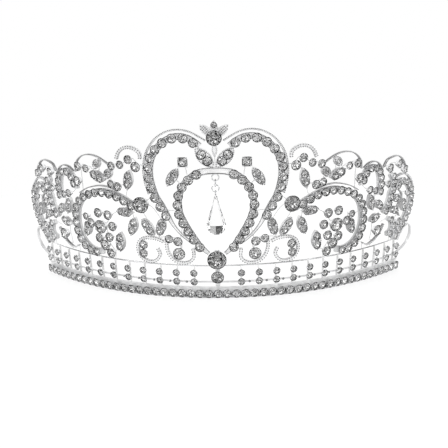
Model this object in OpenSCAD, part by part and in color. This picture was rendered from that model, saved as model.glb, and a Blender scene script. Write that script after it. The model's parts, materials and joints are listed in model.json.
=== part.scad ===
// Bridal tiara: a stone-set band, a row of pickets, a double heart and scrollwork on a curved, leaning face.
// The pattern is laid out flat and then wrapped round an ellipse. s runs along the band from its centre,
// h runs up the slope from the middle of the band's stone row, and d comes forward out of the metal face.
// The origin is the front centre of the band's lower edge, +Z is up and the wearer looks along -Y.

/* [Plan and lean] */
// Half width of the ellipse that the face follows in plan
plan_half_width = 87.2; // [84:0.1:92]
// Half depth of that ellipse
plan_half_depth = 109.7; // [104:0.1:116]
// Outward lean of the whole face, in degrees
lean = 5.5; // [4:0.5:7]

/* [Band] */
// Height of the middle of the band's stone row above the surface it stands on
row_height = 1.8; // [1.7:0.05:2]
// Half length of the band, along its curve
band_half_length = 79.3; // [79:0.1:80]
// Top edge of the band strip, up the slope from its stone row
band_top = 2; // [1.9:0.05:2.1]
// Thickness of the band strip and of every flat bar
bar_thickness = 0.8; // [0.7:0.05:0.9]
// Number of stones on each side of the band's middle stone
band_stones_each_side = 24; // [20:1:24]
// Distance between neighbouring band stones
band_pitch = 3.2; // [3.15:0.01:3.25]
// Radius of a band stone
band_stone_r = 1.33; // [1.2:0.01:1.35]

/* [Pickets] */
// Distance of the first picket from the centre line
first_picket = 8.2; // [7.5:0.1:8.5]
// Distance between neighbouring pickets
picket_pitch = 6.2; // [6:0.05:6.2]
// Pickets on each side
pickets_each_side = 12; // [8:1:12]
// Height of the lower and the upper stone of a picket
picket_stone_h = [4.3, 7.5];
// Radius of a picket stone
picket_stone_r = 1.05; // [0.9:0.05:1.15]
// Height of the lower and the upper rail
rail_h = [3.5, 9.5];

/* [Hearts and scrolls] */
// Width of the bars that carry rows of stones
bar_width = 2.3; // [2:0.1:2.4]
// Radius of the stones in the two hearts
heart_stone_r = 1.35; // [1.2:0.05:1.35]
// Radius of the stones in the scrolls
scroll_stone_r = 1.25; // [1.1:0.05:1.3]
// Radius of the thin plain and beaded wires
wire_r = 0.36; // [0.3:0.02:0.4]

/* [Pendant] */
// Radius of a chain ring, to the middle of its wire
ring_r = 1.2; // [1.15:0.05:1.25]
// Radius of the lowest ring, which goes through the crystal
drop_ring_r = 1.3; // [1.25:0.05:1.35]
// Radius of the chain's wire
chain_wire_r = 0.22; // [0.18:0.01:0.24]
// Height of the crystal drop below its hole
drop_height = 12.8; // [11:0.1:13]
// Greatest width of the crystal drop
drop_width = 6.8; // [6:0.1:7.2]
// Greatest thickness of the crystal drop
drop_thickness = 4.2; // [3.6:0.1:4.6]
// Radius of the hole through the crystal
drop_hole_r = 0.45; // [0.42:0.01:0.5]

/* [Hidden] */

METAL = "silver";
CLEAR = "aliceblue";
// Gap left between pieces that are soldered or pressed together
JOINT_GAP = 0.02;
// Depth of the middle of the wires that run behind the flat bars
BACK_WIRE_D = -bar_thickness - JOINT_GAP - wire_r;
// The strips that run beside the flat bars stand on edge: depth of their middle, and half their depth
STRIP_D = 0.05;
STRIP_HALF_DEPTH = 0.9;

// ---- the wrapped face ----

ANGLE_STEP = 1;
function arc_step(t) =
    let (m = t + ANGLE_STEP / 2)
    ANGLE_STEP * PI / 180 * norm([plan_half_width * cos(m), plan_half_depth * sin(m)]);
// Length along the ellipse against the ellipse's own angle
ARC_TABLE = [for (t = 0, s = 0; t <= 66; s = s + arc_step(t), t = t + ANGLE_STEP) [s, t]];
function plan_angle(s) = sign(s) * lookup(abs(s), ARC_TABLE);
function heading(s) =
    let (t = plan_angle(s))
    atan2(plan_half_depth * sin(t), plan_half_width * cos(t));
// The ellipse runs through the girdles of the stones, this far in front of the metal face
GIRDLE_D = 1.2;
// Moves the ellipse so that the middle of the band's lower edge is the origin
PLAN_SHIFT = -row_height * tan(lean) - (bar_thickness / 2 + GIRDLE_D) / cos(lean);
function face_point(s, h, d = 0) =
    let (t = plan_angle(s), turn = heading(s), behind = GIRDLE_D - d,
         out = h * sin(lean) - behind * cos(lean))
    [plan_half_width * sin(t) + out * sin(turn),
     plan_half_depth * (1 - cos(t)) - out * cos(turn) + PLAN_SHIFT,
     row_height + h * cos(lean) + behind * sin(lean)];
// The point at the depth d where the face meets the surface that the tiara stands on
function foot_point(s, d) = face_point(s, -(row_height + (GIRDLE_D - d) * sin(lean)) / cos(lean), d);
// Puts its children on the face: x along the band, y up the slope, z out of the face
module on_face(s, h, turn = 0) {
    translate(face_point(s, h)) rotate([90 + lean, 0, heading(s)]) rotate([0, 0, turn]) children();
}

// ---- curves in the flat pattern ----

// A point's place at u = 0..1 between b and c of four neighbours, on a smooth curve through them all
function spline_point(a, b, c, d, u) =
    (2 * b + (c - a) * u + (2 * a - 5 * b + 4 * c - d) * u * u + (3 * b - a - 3 * c + d) * u * u * u) / 2;
// A smooth curve through control points [s, h, width]
function smooth(points, steps = 4) =
    let (last = len(points) - 1)
    concat([for (i = [0 : last - 1], j = [0 : steps - 1])
        spline_point(points[max(i - 1, 0)], points[i], points[i + 1], points[min(i + 2, last)], j / steps)],
        [points[last]]);
function mirrored(points) = [for (p = points) [-p[0], p[1], p[2]]];
function sided(points, side) = side < 0 ? mirrored(points) : points;
function reversed(points) = [for (i = [len(points) - 1 : -1 : 0]) points[i]];
// Gives every [s, h] control point the same width
function of_width(points, width) = [for (p = points) [p[0], p[1], width]];
function gap_after(curve, i) =
    i + 1 < len(curve) ? norm([curve[i + 1][0] - curve[i][0], curve[i + 1][1] - curve[i][1]]) : 0;
function running_length(curve) =
    [for (i = 0, total = 0; i < len(curve); total = total + gap_after(curve, i), i = i + 1) total];
// count places spaced evenly along a curve, from the length first to the length last
function spread(curve, count, first, last) =
    let (length = running_length(curve),
         along_s = [for (i = [0 : len(curve) - 1]) [length[i], curve[i][0]]],
         along_h = [for (i = [0 : len(curve) - 1]) [length[i], curve[i][1]]])
    [for (k = [0 : count - 1])
        let (l = first + (last - first) * k / (count - 1)) [lookup(l, along_s), lookup(l, along_h)]];
function curve_length(curve) = running_length(curve)[len(curve) - 1];

// ---- swept bars and wires ----

function direction(path, i) =
    let (a = path[max(i - 1, 0)], b = path[min(i + 1, len(path) - 1)], v = [b[0] - a[0], b[1] - a[1]])
    v / norm(v);
// Joins equal rings of points into one closed solid
module joined_rings(rings) {
    n = len(rings[0]);
    last = len(rings) - 1;
    sides = [for (i = [0 : last - 1], k = [0 : n - 1])
        let (a = i * n + k, b = i * n + (k + 1) % n) each [[a, b + n, b], [a, a + n, b + n]]];
    caps = [[for (k = [0 : n - 1]) k], [for (k = [n - 1 : -1 : 0]) last * n + k]];
    polyhedron(points = [for (ring = rings) each ring], faces = concat(caps, sides));
}
// A flat bar along a path of [s, h, width], from the depth back to the depth front
module flat_bar(path, back = -bar_thickness, front = 0) {
    corners = [[-1, back], [1, back], [1, front], [-1, front]];
    joined_rings([for (i = [0 : len(path) - 1])
        let (t = direction(path, i), half = path[i][2] / 2)
        [for (c = corners)
            face_point(path[i][0] - t[1] * half * c[0], path[i][1] + t[0] * half * c[0], c[1])]]);
}
// A wire along a path: half its width, half its depth, and the depth of its middle
module oval_wire(path, half_width, half_depth, d, sides) {
    joined_rings([for (i = [0 : len(path) - 1])
        let (t = direction(path, i))
        [for (k = [0 : sides - 1])
            let (across = half_width * cos(360 * k / sides), depth = d + half_depth * sin(360 * k / sides))
            face_point(path[i][0] - t[1] * across, path[i][1] + t[0] * across, depth)]]);
}
module round_wire(path, r, d, sides = 6) {
    oval_wire(path, r, r, d, sides);
}
module edge_strip(path) {
    oval_wire(path, wire_r, STRIP_HALF_DEPTH, STRIP_D, 6);
}

// ---- stones and their settings ----

// Depth of a stone's point above the metal face, and above a leaf's seat
CUP_TIP = 0.25;
LEAF_TIP = -0.35;
// Slopes of a cut stone
PAVILION = 0.8;
GIRDLE = 0.08;
CROWN = 0.34;
TABLE = 0.56;
CULET_R = 0.06;
CUP_WALL = 0.24;
// A round cut stone with its point at the depth tip
module cut_stone(r, tip = CUP_TIP) {
    rotate_extrude($fn = 24)
        polygon([[0, tip], [CULET_R, tip], [r, tip + PAVILION * r],
                 [r, tip + (PAVILION + GIRDLE) * r], [TABLE * r, tip + (PAVILION + GIRDLE + CROWN) * r],
                 [0, tip + (PAVILION + GIRDLE + CROWN) * r]]);
}
// A tapered cup that holds a round stone of radius r
module cup(r) {
    floor_z = CUP_TIP - 0.05;
    rim_z = CUP_TIP + PAVILION * r;
    rotate_extrude($fn = 24)
        polygon([[0, JOINT_GAP], [0.72 * r, JOINT_GAP], [r + CUP_WALL, rim_z],
                 [r + 0.05, rim_z], [CULET_R, floor_z], [0, floor_z]]);
}
module cups_at(places, r) {
    for (p = places, side = p[0] == 0 ? [1] : [-1, 1]) on_face(side * p[0], p[1]) cup(r);
}
module stones_at(places, r, tip = CUP_TIP) {
    for (p = places, side = p[0] == 0 ? [1] : [-1, 1]) on_face(side * p[0], p[1]) cut_stone(r, tip);
}
// Single settings are listed as [s, h, stone radius]
module single_cups(list) {
    for (p = list) cups_at([p], p[2]);
}
module single_stones(list) {
    for (p = list) stones_at([p], p[2]);
}

// ---- pointed leaves ----

LEAF_FRONT = 0.7;
// A pointed oval from one tip to the other
module pointed_oval(length, width) {
    r = (length * length + width * width) / 4 / width;
    intersection() {
        translate([0, r - width / 2]) circle(r, $fn = 64);
        translate([0, width / 2 - r]) circle(r, $fn = 64);
    }
}
// Leaves are listed as [s, h, turn, length, width, stone radius, half distance between the two stones]
function leaf_offsets(leaf) = leaf[6] == 0 ? [0] : [-leaf[6], leaf[6]];
module leaf_plate(leaf) {
    difference() {
        translate([0, 0, -bar_thickness])
            linear_extrude(bar_thickness + LEAF_FRONT) pointed_oval(leaf[3], leaf[4]);
        for (x = leaf_offsets(leaf)) translate([x, 0, 0])
            rotate_extrude($fn = 24)
                polygon([[0, LEAF_TIP - 0.05], [CULET_R, LEAF_TIP - 0.05],
                         [leaf[5] + 0.05, LEAF_TIP + PAVILION * leaf[5]], [leaf[5] + 0.05, 1], [0, 1]]);
    }
}
module leaf_stones(leaf) {
    for (x = leaf_offsets(leaf)) translate([x, 0, 0]) cut_stone(leaf[5], LEAF_TIP);
}
module each_leaf_place(leaf) {
    on_face(leaf[0], leaf[1], leaf[2]) children();
    on_face(-leaf[0], leaf[1], 180 - leaf[2]) children();
}

// ---- the pattern: control points and places on the right-hand side ----

HEART_PITCH = 3.37;
INNER_HEART = smooth([[0, 44.2, 2], [3, 44.1, 2], [5.9, 43.3, 2.3], [8.6, 41.3, 2.3], [10.9, 38.6, 2.3],
    [12.2, 35.5, 2.3], [12.6, 32.2, 2.3], [12.2, 28.8, 2.3], [11, 25.8, 2.3], [9.6, 23.1, 2.3],
    [8, 20.4, 2.3], [6.2, 17.8, 2], [4.4, 15.8, 1.6], [2.8, 14.4, 1.2]], 3);
INNER_HEART_PLACES = spread(INNER_HEART, 10, 6.1, 6.1 + 9 * HEART_PITCH);
OUTER_HEART = smooth([[4.6, 53, 1.6], [6.7, 54.4, 2.3], [9.4, 55.8, 2.3], [12.6, 56, 2.3], [15.9, 54.6, 2.3],
    [18.8, 52, 2.3], [20.9, 48.8, 2.3], [21.9, 45.2, 2.3], [22, 41.4, 2.3], [21.3, 37.7, 2.3],
    [20.2, 34.3, 2.3], [18.4, 31.2, 2.3], [16.7, 28.2, 1.8], [14.7, 24.4, 1], [12, 21.1, 0.8],
    [9, 18.6, 0.8]], 3);
OUTER_HEART_PLACES = spread(OUTER_HEART, 12, 2.4, 2.4 + 11 * 3.6);
OUTER_RIM = smooth(of_width([[2.9, 54.7], [5.4, 56.4], [8.2, 57.9], [11.6, 58.5], [15.2, 57.8], [18.4, 55.9],
    [20.9, 53.2], [22.7, 50], [23.7, 46.4], [24, 42.6], [23.6, 38.8], [22.7, 35.4]], 0), 3);
CENTRE_SINGLES = [[0, 6.3, 2], [0, 13, 3.1]];
FINIAL_SINGLES = [[0, 56.2, 2.45]];
FINIAL_PETAL_STONE = [0, 60.4, 0.85];
CLEFT_LEAF = [3.3, 48.9, 47, 8.8, 4.2, 1.3, 1.5];
LOBE_SQUARE = [10.2, 47.6, 3.1];
BEADED_CURL = smooth(of_width([[17.6, 18.6], [17.5, 15.9], [16.6, 13.4], [14.7, 11.5], [12.1, 10.8],
    [9.6, 11.4], [8.1, 13.2], [8.3, 16.2]], 0));
CURL_SINGLES = [[13.1, 19.1, 1.3], [16.2, 19.9, 1.2], [12.8, 14.8, 1.95], [25.6, 17.2, 1.25],
    [25.9, 14, 1.25]];
C_CURL = smooth(of_width([[18.7, 18.3], [21, 19.2], [24, 19.5], [26.8, 18.8], [28.4, 16.6], [28.3, 13.6],
    [26.4, 11.3], [23.6, 10.7], [21.3, 11.7], [20.2, 13.8], [21, 15.8]], 0));
SPRAY_LEAVES = [
    [14.1, 41.9, -57, 7.6, 3.4, 1.15, 1.45],
    [19.1, 23.8, -74, 7.2, 3.3, 1.15, 1.45],
    [23.9, 23.3, 56, 7.2, 3.3, 1.15, 1.45],
    [29.7, 23.2, -72, 7.2, 3.3, 1.15, 1.45],
    [32.6, 28.2, 5, 6.4, 3.1, 1.1, 1.3],
    [30.1, 40, -80, 7.4, 3.3, 1.15, 1.45],
    [38, 41.6, -56, 4.4, 2.9, 1.1, 0],
    [42.8, 40.2, 24, 6.8, 3.4, 1.2, 1.4],
    [42.6, 44.7, -56, 4.2, 2.7, 1, 0],
    [35.5, 16.8, -85, 7.4, 3.4, 1.2, 1.55],
    [50, 20.2, -80, 6, 3.1, 1.1, 1.25],
    [59.2, 27.2, -75, 6.4, 3, 1.05, 1.3],
    [63.7, 25.6, -45, 5.5, 2.8, 0.95, 1.1],
    [61.9, 20.9, 20, 5.6, 2.8, 0.95, 1.15],
    [73.5, 26.4, -15, 5.6, 2.9, 1, 1.15],
    [73.3, 21.9, -20, 5.4, 2.9, 0.95, 1.15],
    [79.8, 22.6, -70, 5.8, 2.9, 1, 1.15]];
SMALL_ARC = smooth(of_width([[25.1, 47.8], [25.2, 49.7], [26.7, 51.1], [29, 51.7], [31.4, 51.1], [33.2, 49.4],
    [34.2, 47.2]], 0));
LARGE_ARC = smooth(of_width([[36.9, 44.2], [39.2, 45.8], [42.2, 47.2], [45.3, 47.7], [48.4, 47.2],
    [51, 45.7], [52.8, 43.4], [53.3, 40.6]], 0));
SCROLL_PITCH = 3.07;
MAIN_SCROLL = smooth(of_width([[27, 29.5], [29.3, 31], [32, 32.5], [35, 33.8], [38.2, 34.5], [41.6, 34.7],
    [45, 34], [48.2, 32.8], [51.2, 31.1], [53.5, 28.4], [54.8, 25], [55.1, 21.5], [54.5, 18],
    [52.8, 14.9], [50.1, 12.8], [47, 12], [43.8, 12.3]], bar_width), 3);
SCROLL_PLACES = spread(MAIN_SCROLL, 17, 2.8, 2.8 + 16 * SCROLL_PITCH);
SCROLL_RIM = smooth(of_width([[35.2, 35.8], [38.4, 36.6], [42, 36.8], [45.6, 36.1], [49, 34.9],
    [52.4, 33]], 0));
SCROLL_SINGLES = [[25.1, 32, 2.2], [28.9, 47.7, 1.25], [26.3, 45.3, 1.45], [32.2, 45.6, 1.15],
    [35.6, 44.9, 1.2], [33.8, 37.6, 1.3], [36.5, 38.2, 1.15], [46.9, 42.8, 1.1], [50.4, 43.3, 1.35],
    [51.6, 37.7, 1.45], [41.3, 15.4, 1.6], [39.1, 12.6, 1.4], [49.4, 24.9, 1.05]];
FLOWER_CENTRE = [42.2, 22.2, 2.3];
// The flower's petals: direction from its centre, and how far out they stand
PETALS = [[8, 4.75], [78, 5], [125, 5.5], [174, 4.75], [231, 4.75], [288, 4.75]];
PETAL_R = 1.3;
SIDE_ARCH = smooth(of_width([[53.9, 34.3], [54.2, 36.6], [55.5, 39], [57.7, 40.3], [60.3, 39.9], [62.2, 38],
    [63.2, 35.2], [63.4, 32.2], [62.8, 29.4]], 2));
SIDE_ARCH_PLACES = spread(SIDE_ARCH, 8, 2, curve_length(SIDE_ARCH) - 1.4);
SIDE_ARCH_RIM = smooth(of_width([[54.6, 40.6], [56.8, 42], [59.4, 42.3], [61.9, 41.3], [63.8, 39.2],
    [64.7, 36.6]], 0));
FAR_STRIP = smooth(of_width([[69.5, 36], [70.9, 33.8], [71.1, 31.2], [70, 28.8], [69.4, 26.2], [68.2, 23.9],
    [66.6, 22]], 1.9));
FAR_STRIP_PLACES = spread(FAR_STRIP, 6, 0.9, curve_length(FAR_STRIP) - 1);
FAR_LOOP = smooth(of_width([[73.9, 10.9], [76.5, 13.4], [79.4, 15.4], [82, 17.9], [83.9, 21], [84.6, 24.5],
    [83.7, 27.9], [81.3, 30.6], [78.2, 32.1], [75.2, 32.2], [73.3, 30.3]], 2));
FAR_LOOP_PLACES = spread(FAR_LOOP, 12, 1.2, curve_length(FAR_LOOP) - 1.2);
FAR_RIM = smooth(of_width([[73.2, 34.4], [76.8, 35], [80.6, 33.9], [84, 31.3], [86.3, 27.7], [87, 23.6],
    [86, 19.7]], 0));
FAR_CURL = smooth(of_width([[70, 19.2], [72.1, 18], [72.9, 15.9], [72, 13.9], [70, 13.2]], 1.8));
FAR_CURL_PLACES = spread(FAR_CURL, 3, 1.1, curve_length(FAR_CURL) - 1);
FAR_TOP_STRIP = smooth(of_width([[64.9, 39.4], [66.6, 41.6], [69.6, 42.4], [73, 42.3], [76, 40.8],
    [78.3, 38.4], [79.4, 35.6]], 0));
FAR_S_STRIP = smooth(of_width([[75.4, 29.2], [77.8, 27.4], [77.9, 25.2], [76.3, 23], [76.2, 20.8],
    [77.6, 18.8]], 0));
LOW_STRIP = smooth(of_width([[67.6, 17.6], [65.4, 14.6], [62.4, 12.4], [59, 11.4], [56.4, 12.6]], 0));
SIDE_SINGLES = [[67.1, 38.9, 1.35], [72.6, 39.6, 1.35], [76.6, 36.9, 1.3], [57.2, 32.4, 1.2],
    [60.2, 31.6, 1.05], [62.2, 16.5, 1.75], [75.6, 17.2, 1.2], [81, 27, 1.05], [67.2, 32.8, 1]];
SIDE_ROW_R = 1.1;
END_LOOP = smooth(of_width([[77.9, 4.1], [79.6, 4.6], [82.8, 5.5], [86.1, 7], [88.3, 9.4], [88, 12.5],
    [85.4, 14], [82, 13.2], [79.6, 11.2], [77.9, 9.3]], 0));
// Short wires behind the face that carry the pieces standing free in it
SUPPORTS = [[[0, 45], [0, 53.5]], [[9.2, 41], [10.3, 47.8]], [[12.2, 39.5], [13.6, 40.8]],
    [[21.6, 35], [24.5, 32.5], [28.5, 30.5]], [[19.4, 26], [21.8, 29.6], [24.6, 31.8]],
    [[23.9, 24.2], [26, 28], [28.2, 30.2]], [[12.8, 14.8], [12.6, 18.4], [16.4, 19.8], [20.6, 19.4]],
    [[11.6, 24.8], [12.8, 19.4], [12.9, 15.2]], [[29.8, 24], [30.2, 27.6], [30.6, 31.4]],
    [[29.4, 27.9], [33.6, 28.4], [38.4, 26.6], [42.2, 22.2]], [[17, 29.6], [14.4, 29.4], [12.4, 29.2]],
    [[22.2, 45.2], [26.3, 45.4], [29, 47.8], [32.2, 45.6], [35.6, 44.9], [37.2, 42.4]],
    [[26.4, 45.2], [29.2, 43.4], [30.1, 40.2], [31.4, 36.4], [32.6, 32.9]],
    [[30.6, 37.4], [33.8, 37.6], [37.2, 38.6], [42.8, 40.2], [46.9, 42.8], [50.4, 43.3], [52.9, 42.6]],
    [[37.6, 42.8], [38.2, 40.6], [37, 34.6]], [[42.6, 46.8], [42.6, 43.4], [43.2, 40.4]],
    [[51.6, 42.6], [51.6, 37.7], [51.9, 31]], [[54, 36], [51.8, 37.4]],
    [[42.2, 22.2], [48, 22.8], [54.6, 24.4]], [[42.2, 22.2], [41.2, 15.4], [39.1, 12.6], [39.4, 9.9]],
    [[35.6, 18.4], [35.2, 14.4], [39, 12.8], [44, 12.2]], [[49.4, 25], [50, 20.2], [53.8, 17.4]],
    [[54, 35], [57.2, 32.4], [60.2, 31.4], [63, 30.6]], [[54.9, 25.4], [59.2, 27.4], [62.8, 29.6]],
    [[62.8, 29.6], [62.6, 26.8], [64.6, 25], [66.4, 22.6]],
    [[55, 21.4], [61.9, 20.9], [66, 22.2]], [[61.9, 21], [62.2, 16.5], [61.4, 12.2]],
    [[63.4, 33.8], [67.2, 32.8], [70.8, 33.4]],
    [[64.2, 38], [67.1, 38.9], [72.6, 39.6], [76.6, 36.9], [79.2, 36.6]],
    [[70.8, 34], [73.6, 34], [76, 32.4]], [[69.6, 27.2], [73.5, 26.4], [77.4, 26.2]],
    [[68.4, 24.6], [73.3, 21.9], [76.2, 21.8]], [[77.7, 26.8], [80.9, 27], [83.9, 27]],
    [[76.4, 23.2], [79.8, 22.6], [84.2, 22.6]], [[70.2, 18.8], [67.4, 18.2]],
    [[77.6, 19], [75.6, 17.2], [72.6, 17.2]], [[57.6, 12], [57.6, 9.9]], [[47, 12], [47, 9.9]],
    [[73.8, 11.4], [73.6, 9.9]], [[62.2, 12.4], [62.2, 9.9]],
    [[12.1, 11], [12.1, 9.9]], [[23.7, 11], [23.7, 9.9]], [[72, 13.9], [73.8, 11.4]],
    [[53, 15], [56.4, 12.6]]];

// ---- band and pickets ----

// The band's section: its lower edge is cut level so that the tiara stands flat
module base_band() {
    color(METAL) joined_rings([for (s = [-1 : 2 / 88 : 1.001])
        let (l = s * band_half_length)
        [foot_point(l, -bar_thickness), face_point(l, band_top, -bar_thickness), face_point(l, band_top),
         foot_point(l, 0)]]);
}
EDGE_R = 0.2;
module band_edge_wires() {
    for (h = [-row_height + EDGE_R + 0.1, band_top - EDGE_R])
        color(METAL) round_wire([for (s = [-1 : 2 / 80 : 1.001]) [s * (band_half_length - 0.2), h, 0]],
            EDGE_R, EDGE_R + 2 * JOINT_GAP, 4);
}
BAND_PLACES = [for (k = [0 : band_stones_each_side]) [k * band_pitch, 0]];
module band_settings() { color(METAL) cups_at(BAND_PLACES, band_stone_r); }
module band_stones() { color(CLEAR) stones_at(BAND_PLACES, band_stone_r); }
RAIL_HALF_LENGTH = band_half_length - 1.3;
module rail(h) {
    color(METAL)
        round_wire([for (s = [-1 : 2 / 72 : 1.001]) [s * RAIL_HALF_LENGTH, h, 0]], wire_r, BACK_WIRE_D);
}
module lower_rail() { rail(rail_h[0]); }
module upper_rail() { rail(rail_h[1]); }
PICKET_S = [for (j = [0 : pickets_each_side - 1]) first_picket + j * picket_pitch];
PICKET_PLACES = [for (s = PICKET_S, h = picket_stone_h) [s, h]];
POST_WIDTH = 0.9;
module post(s, low, high, width) {
    on_face(s, low) translate([-width / 2, 0, -bar_thickness])
        cube([width, high - low, bar_thickness]);
}
module picket_posts() {
    for (s = PICKET_S, side = [-1, 1])
        color(METAL) post(side * s, band_top + JOINT_GAP, rail_h[1] + wire_r, POST_WIDTH);
}
module picket_settings() { color(METAL) cups_at(PICKET_PLACES, picket_stone_r); }
module picket_stones() { color(CLEAR) stones_at(PICKET_PLACES, picket_stone_r); }

// ---- centre column, hearts and finial ----

module centre_post() { color(METAL) post(0, band_top + JOINT_GAP, 15.5, 1.6); }
module centre_settings() { color(METAL) single_cups(CENTRE_SINGLES); }
module centre_stones() { color(CLEAR) single_stones(CENTRE_SINGLES); }
module inner_heart() {
    half = INNER_HEART;
    color(METAL) flat_bar(concat(reversed(mirrored(half)), [for (i = [1 : len(half) - 1]) half[i]]));
}
module inner_heart_settings() { color(METAL) cups_at(INNER_HEART_PLACES, heart_stone_r); }
module inner_heart_stones() { color(CLEAR) stones_at(INNER_HEART_PLACES, heart_stone_r); }
module outer_heart_left() { color(METAL) flat_bar(mirrored(OUTER_HEART)); }
module outer_heart_right() { color(METAL) flat_bar(OUTER_HEART); }
module outer_heart_rims() {
    for (side = [-1, 1]) color(METAL) edge_strip(sided(OUTER_RIM, side));
}
module outer_heart_settings() { color(METAL) cups_at(OUTER_HEART_PLACES, heart_stone_r); }
module outer_heart_stones() { color(CLEAR) stones_at(OUTER_HEART_PLACES, heart_stone_r); }
// The finial's plate: a disc with a leaf up, two leaves out and a drop below
module finial_leaves() {
    color(METAL) on_face(0, FINIAL_SINGLES[0][1])
    translate([0, 0, -bar_thickness]) linear_extrude(bar_thickness) {
        circle(2.2, $fn = 40);
        translate([0, 2.4]) rotate(90) pointed_oval(6, 3);
        for (side = [-1, 1]) translate([side * 2.55, 1.8]) rotate(90 - side * 46) pointed_oval(6, 2.4);
        translate([0, -4.6]) rotate(90) pointed_oval(5.4, 1.9);
    }
}
module finial_settings() {
    color(METAL) {
        single_cups(FINIAL_SINGLES);
        single_cups([FINIAL_PETAL_STONE]);
    }
}
module finial_stones() {
    color(CLEAR) {
        single_stones(FINIAL_SINGLES);
        single_stones([FINIAL_PETAL_STONE]);
    }
}
module cleft_leaves() { color(METAL) each_leaf_place(CLEFT_LEAF) leaf_plate(CLEFT_LEAF); }
module cleft_leaf_stones() { color(CLEAR) each_leaf_place(CLEFT_LEAF) leaf_stones(CLEFT_LEAF); }
// Square settings in the heart's two lobes
module lobe_settings() {
    width = LOBE_SQUARE[2] + 2 * CUP_WALL;
    for (side = [-1, 1]) color(METAL) on_face(side * LOBE_SQUARE[0], LOBE_SQUARE[1])
        translate([-width / 2, -width / 2, -bar_thickness]) difference() {
            cube([width, width, 2.1]);
            translate([CUP_WALL, CUP_WALL, 1.1]) cube([LOBE_SQUARE[2], LOBE_SQUARE[2], 2]);
        }
}
module lobe_stones() {
    width = LOBE_SQUARE[2] - 0.06;
    for (side = [-1, 1]) color(CLEAR) on_face(side * LOBE_SQUARE[0], LOBE_SQUARE[1])
        translate([-width / 2, -width / 2, 1.1 - bar_thickness + JOINT_GAP]) cube([width, width, 1.3]);
}

// ---- curls, sprays and arcs ----

module beaded_curl_left() { color(METAL) edge_strip(mirrored(BEADED_CURL)); }
module beaded_curl_right() { color(METAL) edge_strip(BEADED_CURL); }
module c_curl_left() { color(METAL) edge_strip(mirrored(C_CURL)); }
module c_curl_right() { color(METAL) edge_strip(C_CURL); }
module curl_settings() { color(METAL) single_cups(CURL_SINGLES); }
module curl_stones() { color(CLEAR) single_stones(CURL_SINGLES); }
module spray_leaves() {
    for (leaf = SPRAY_LEAVES) color(METAL) each_leaf_place(leaf) leaf_plate(leaf);
}
module spray_stones() {
    for (leaf = SPRAY_LEAVES) color(CLEAR) each_leaf_place(leaf) leaf_stones(leaf);
}
module small_top_arc_left() { color(METAL) edge_strip(mirrored(SMALL_ARC)); }
module small_top_arc_right() { color(METAL) edge_strip(SMALL_ARC); }
module large_top_arc_left() { color(METAL) edge_strip(mirrored(LARGE_ARC)); }
module large_top_arc_right() { color(METAL) edge_strip(LARGE_ARC); }

// ---- main scrolls and flowers ----

module main_scroll(side) {
    color(METAL) {
        flat_bar(sided(MAIN_SCROLL, side));
        edge_strip(sided(SCROLL_RIM, side));
    }
}
module main_scroll_left() { main_scroll(-1); }
module main_scroll_right() { main_scroll(1); }
module scroll_settings() {
    color(METAL) {
        cups_at(SCROLL_PLACES, scroll_stone_r);
        single_cups(SCROLL_SINGLES);
    }
}
module scroll_stones() {
    color(CLEAR) {
        stones_at(SCROLL_PLACES, scroll_stone_r);
        single_stones(SCROLL_SINGLES);
    }
}
PETAL_PLACES = [for (petal = PETALS)
    [FLOWER_CENTRE[0] + petal[1] * cos(petal[0]), FLOWER_CENTRE[1] + petal[1] * sin(petal[0])]];
module flower_settings() {
    color(METAL) {
        single_cups([FLOWER_CENTRE]);
        cups_at(PETAL_PLACES, PETAL_R);
    }
}
module flower_stones() {
    color(CLEAR) {
        single_stones([FLOWER_CENTRE]);
        stones_at(PETAL_PLACES, PETAL_R);
    }
}

// ---- sides ----

module side_arch(side) {
    color(METAL) {
        flat_bar(sided(SIDE_ARCH, side));
        edge_strip(sided(SIDE_ARCH_RIM, side));
        edge_strip(sided(LOW_STRIP, side));
    }
}
module side_arch_left() { side_arch(-1); }
module side_arch_right() { side_arch(1); }
module far_loop(side) {
    color(METAL) {
        flat_bar(sided(FAR_STRIP, side));
        flat_bar(sided(FAR_LOOP, side));
        flat_bar(sided(FAR_CURL, side));
        for (strip = [FAR_RIM, FAR_TOP_STRIP, FAR_S_STRIP]) edge_strip(sided(strip, side));
    }
}
module far_loop_left() { far_loop(-1); }
module far_loop_right() { far_loop(1); }
SIDE_ROW_PLACES = concat(SIDE_ARCH_PLACES, FAR_STRIP_PLACES, FAR_LOOP_PLACES, FAR_CURL_PLACES);
module side_settings() {
    color(METAL) {
        cups_at(SIDE_ROW_PLACES, SIDE_ROW_R);
        single_cups(SIDE_SINGLES);
    }
}
module side_stones() {
    color(CLEAR) {
        stones_at(SIDE_ROW_PLACES, SIDE_ROW_R);
        single_stones(SIDE_SINGLES);
    }
}
module end_loop_left() { color(METAL) edge_strip(mirrored(END_LOOP)); }
module end_loop_right() { color(METAL) edge_strip(END_LOOP); }
SUPPORT_R = 0.3;
SUPPORT_D = -bar_thickness - JOINT_GAP - SUPPORT_R;
module support_wires() {
    for (path = SUPPORTS, side = path[0][0] == 0 ? [1] : [-1, 1])
        color(METAL) round_wire(sided(smooth(of_width(path, 0), 2), side), SUPPORT_R, SUPPORT_D, 4);
}

// ---- pendant: rings that hang in each other, alternately edge-on and face-on, and a drilled crystal ----

RING_GAP = 0.03;
EYE_H = 43.2 - JOINT_GAP - ring_r - chain_wire_r;
EYE_D = -bar_thickness / 2;
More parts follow.
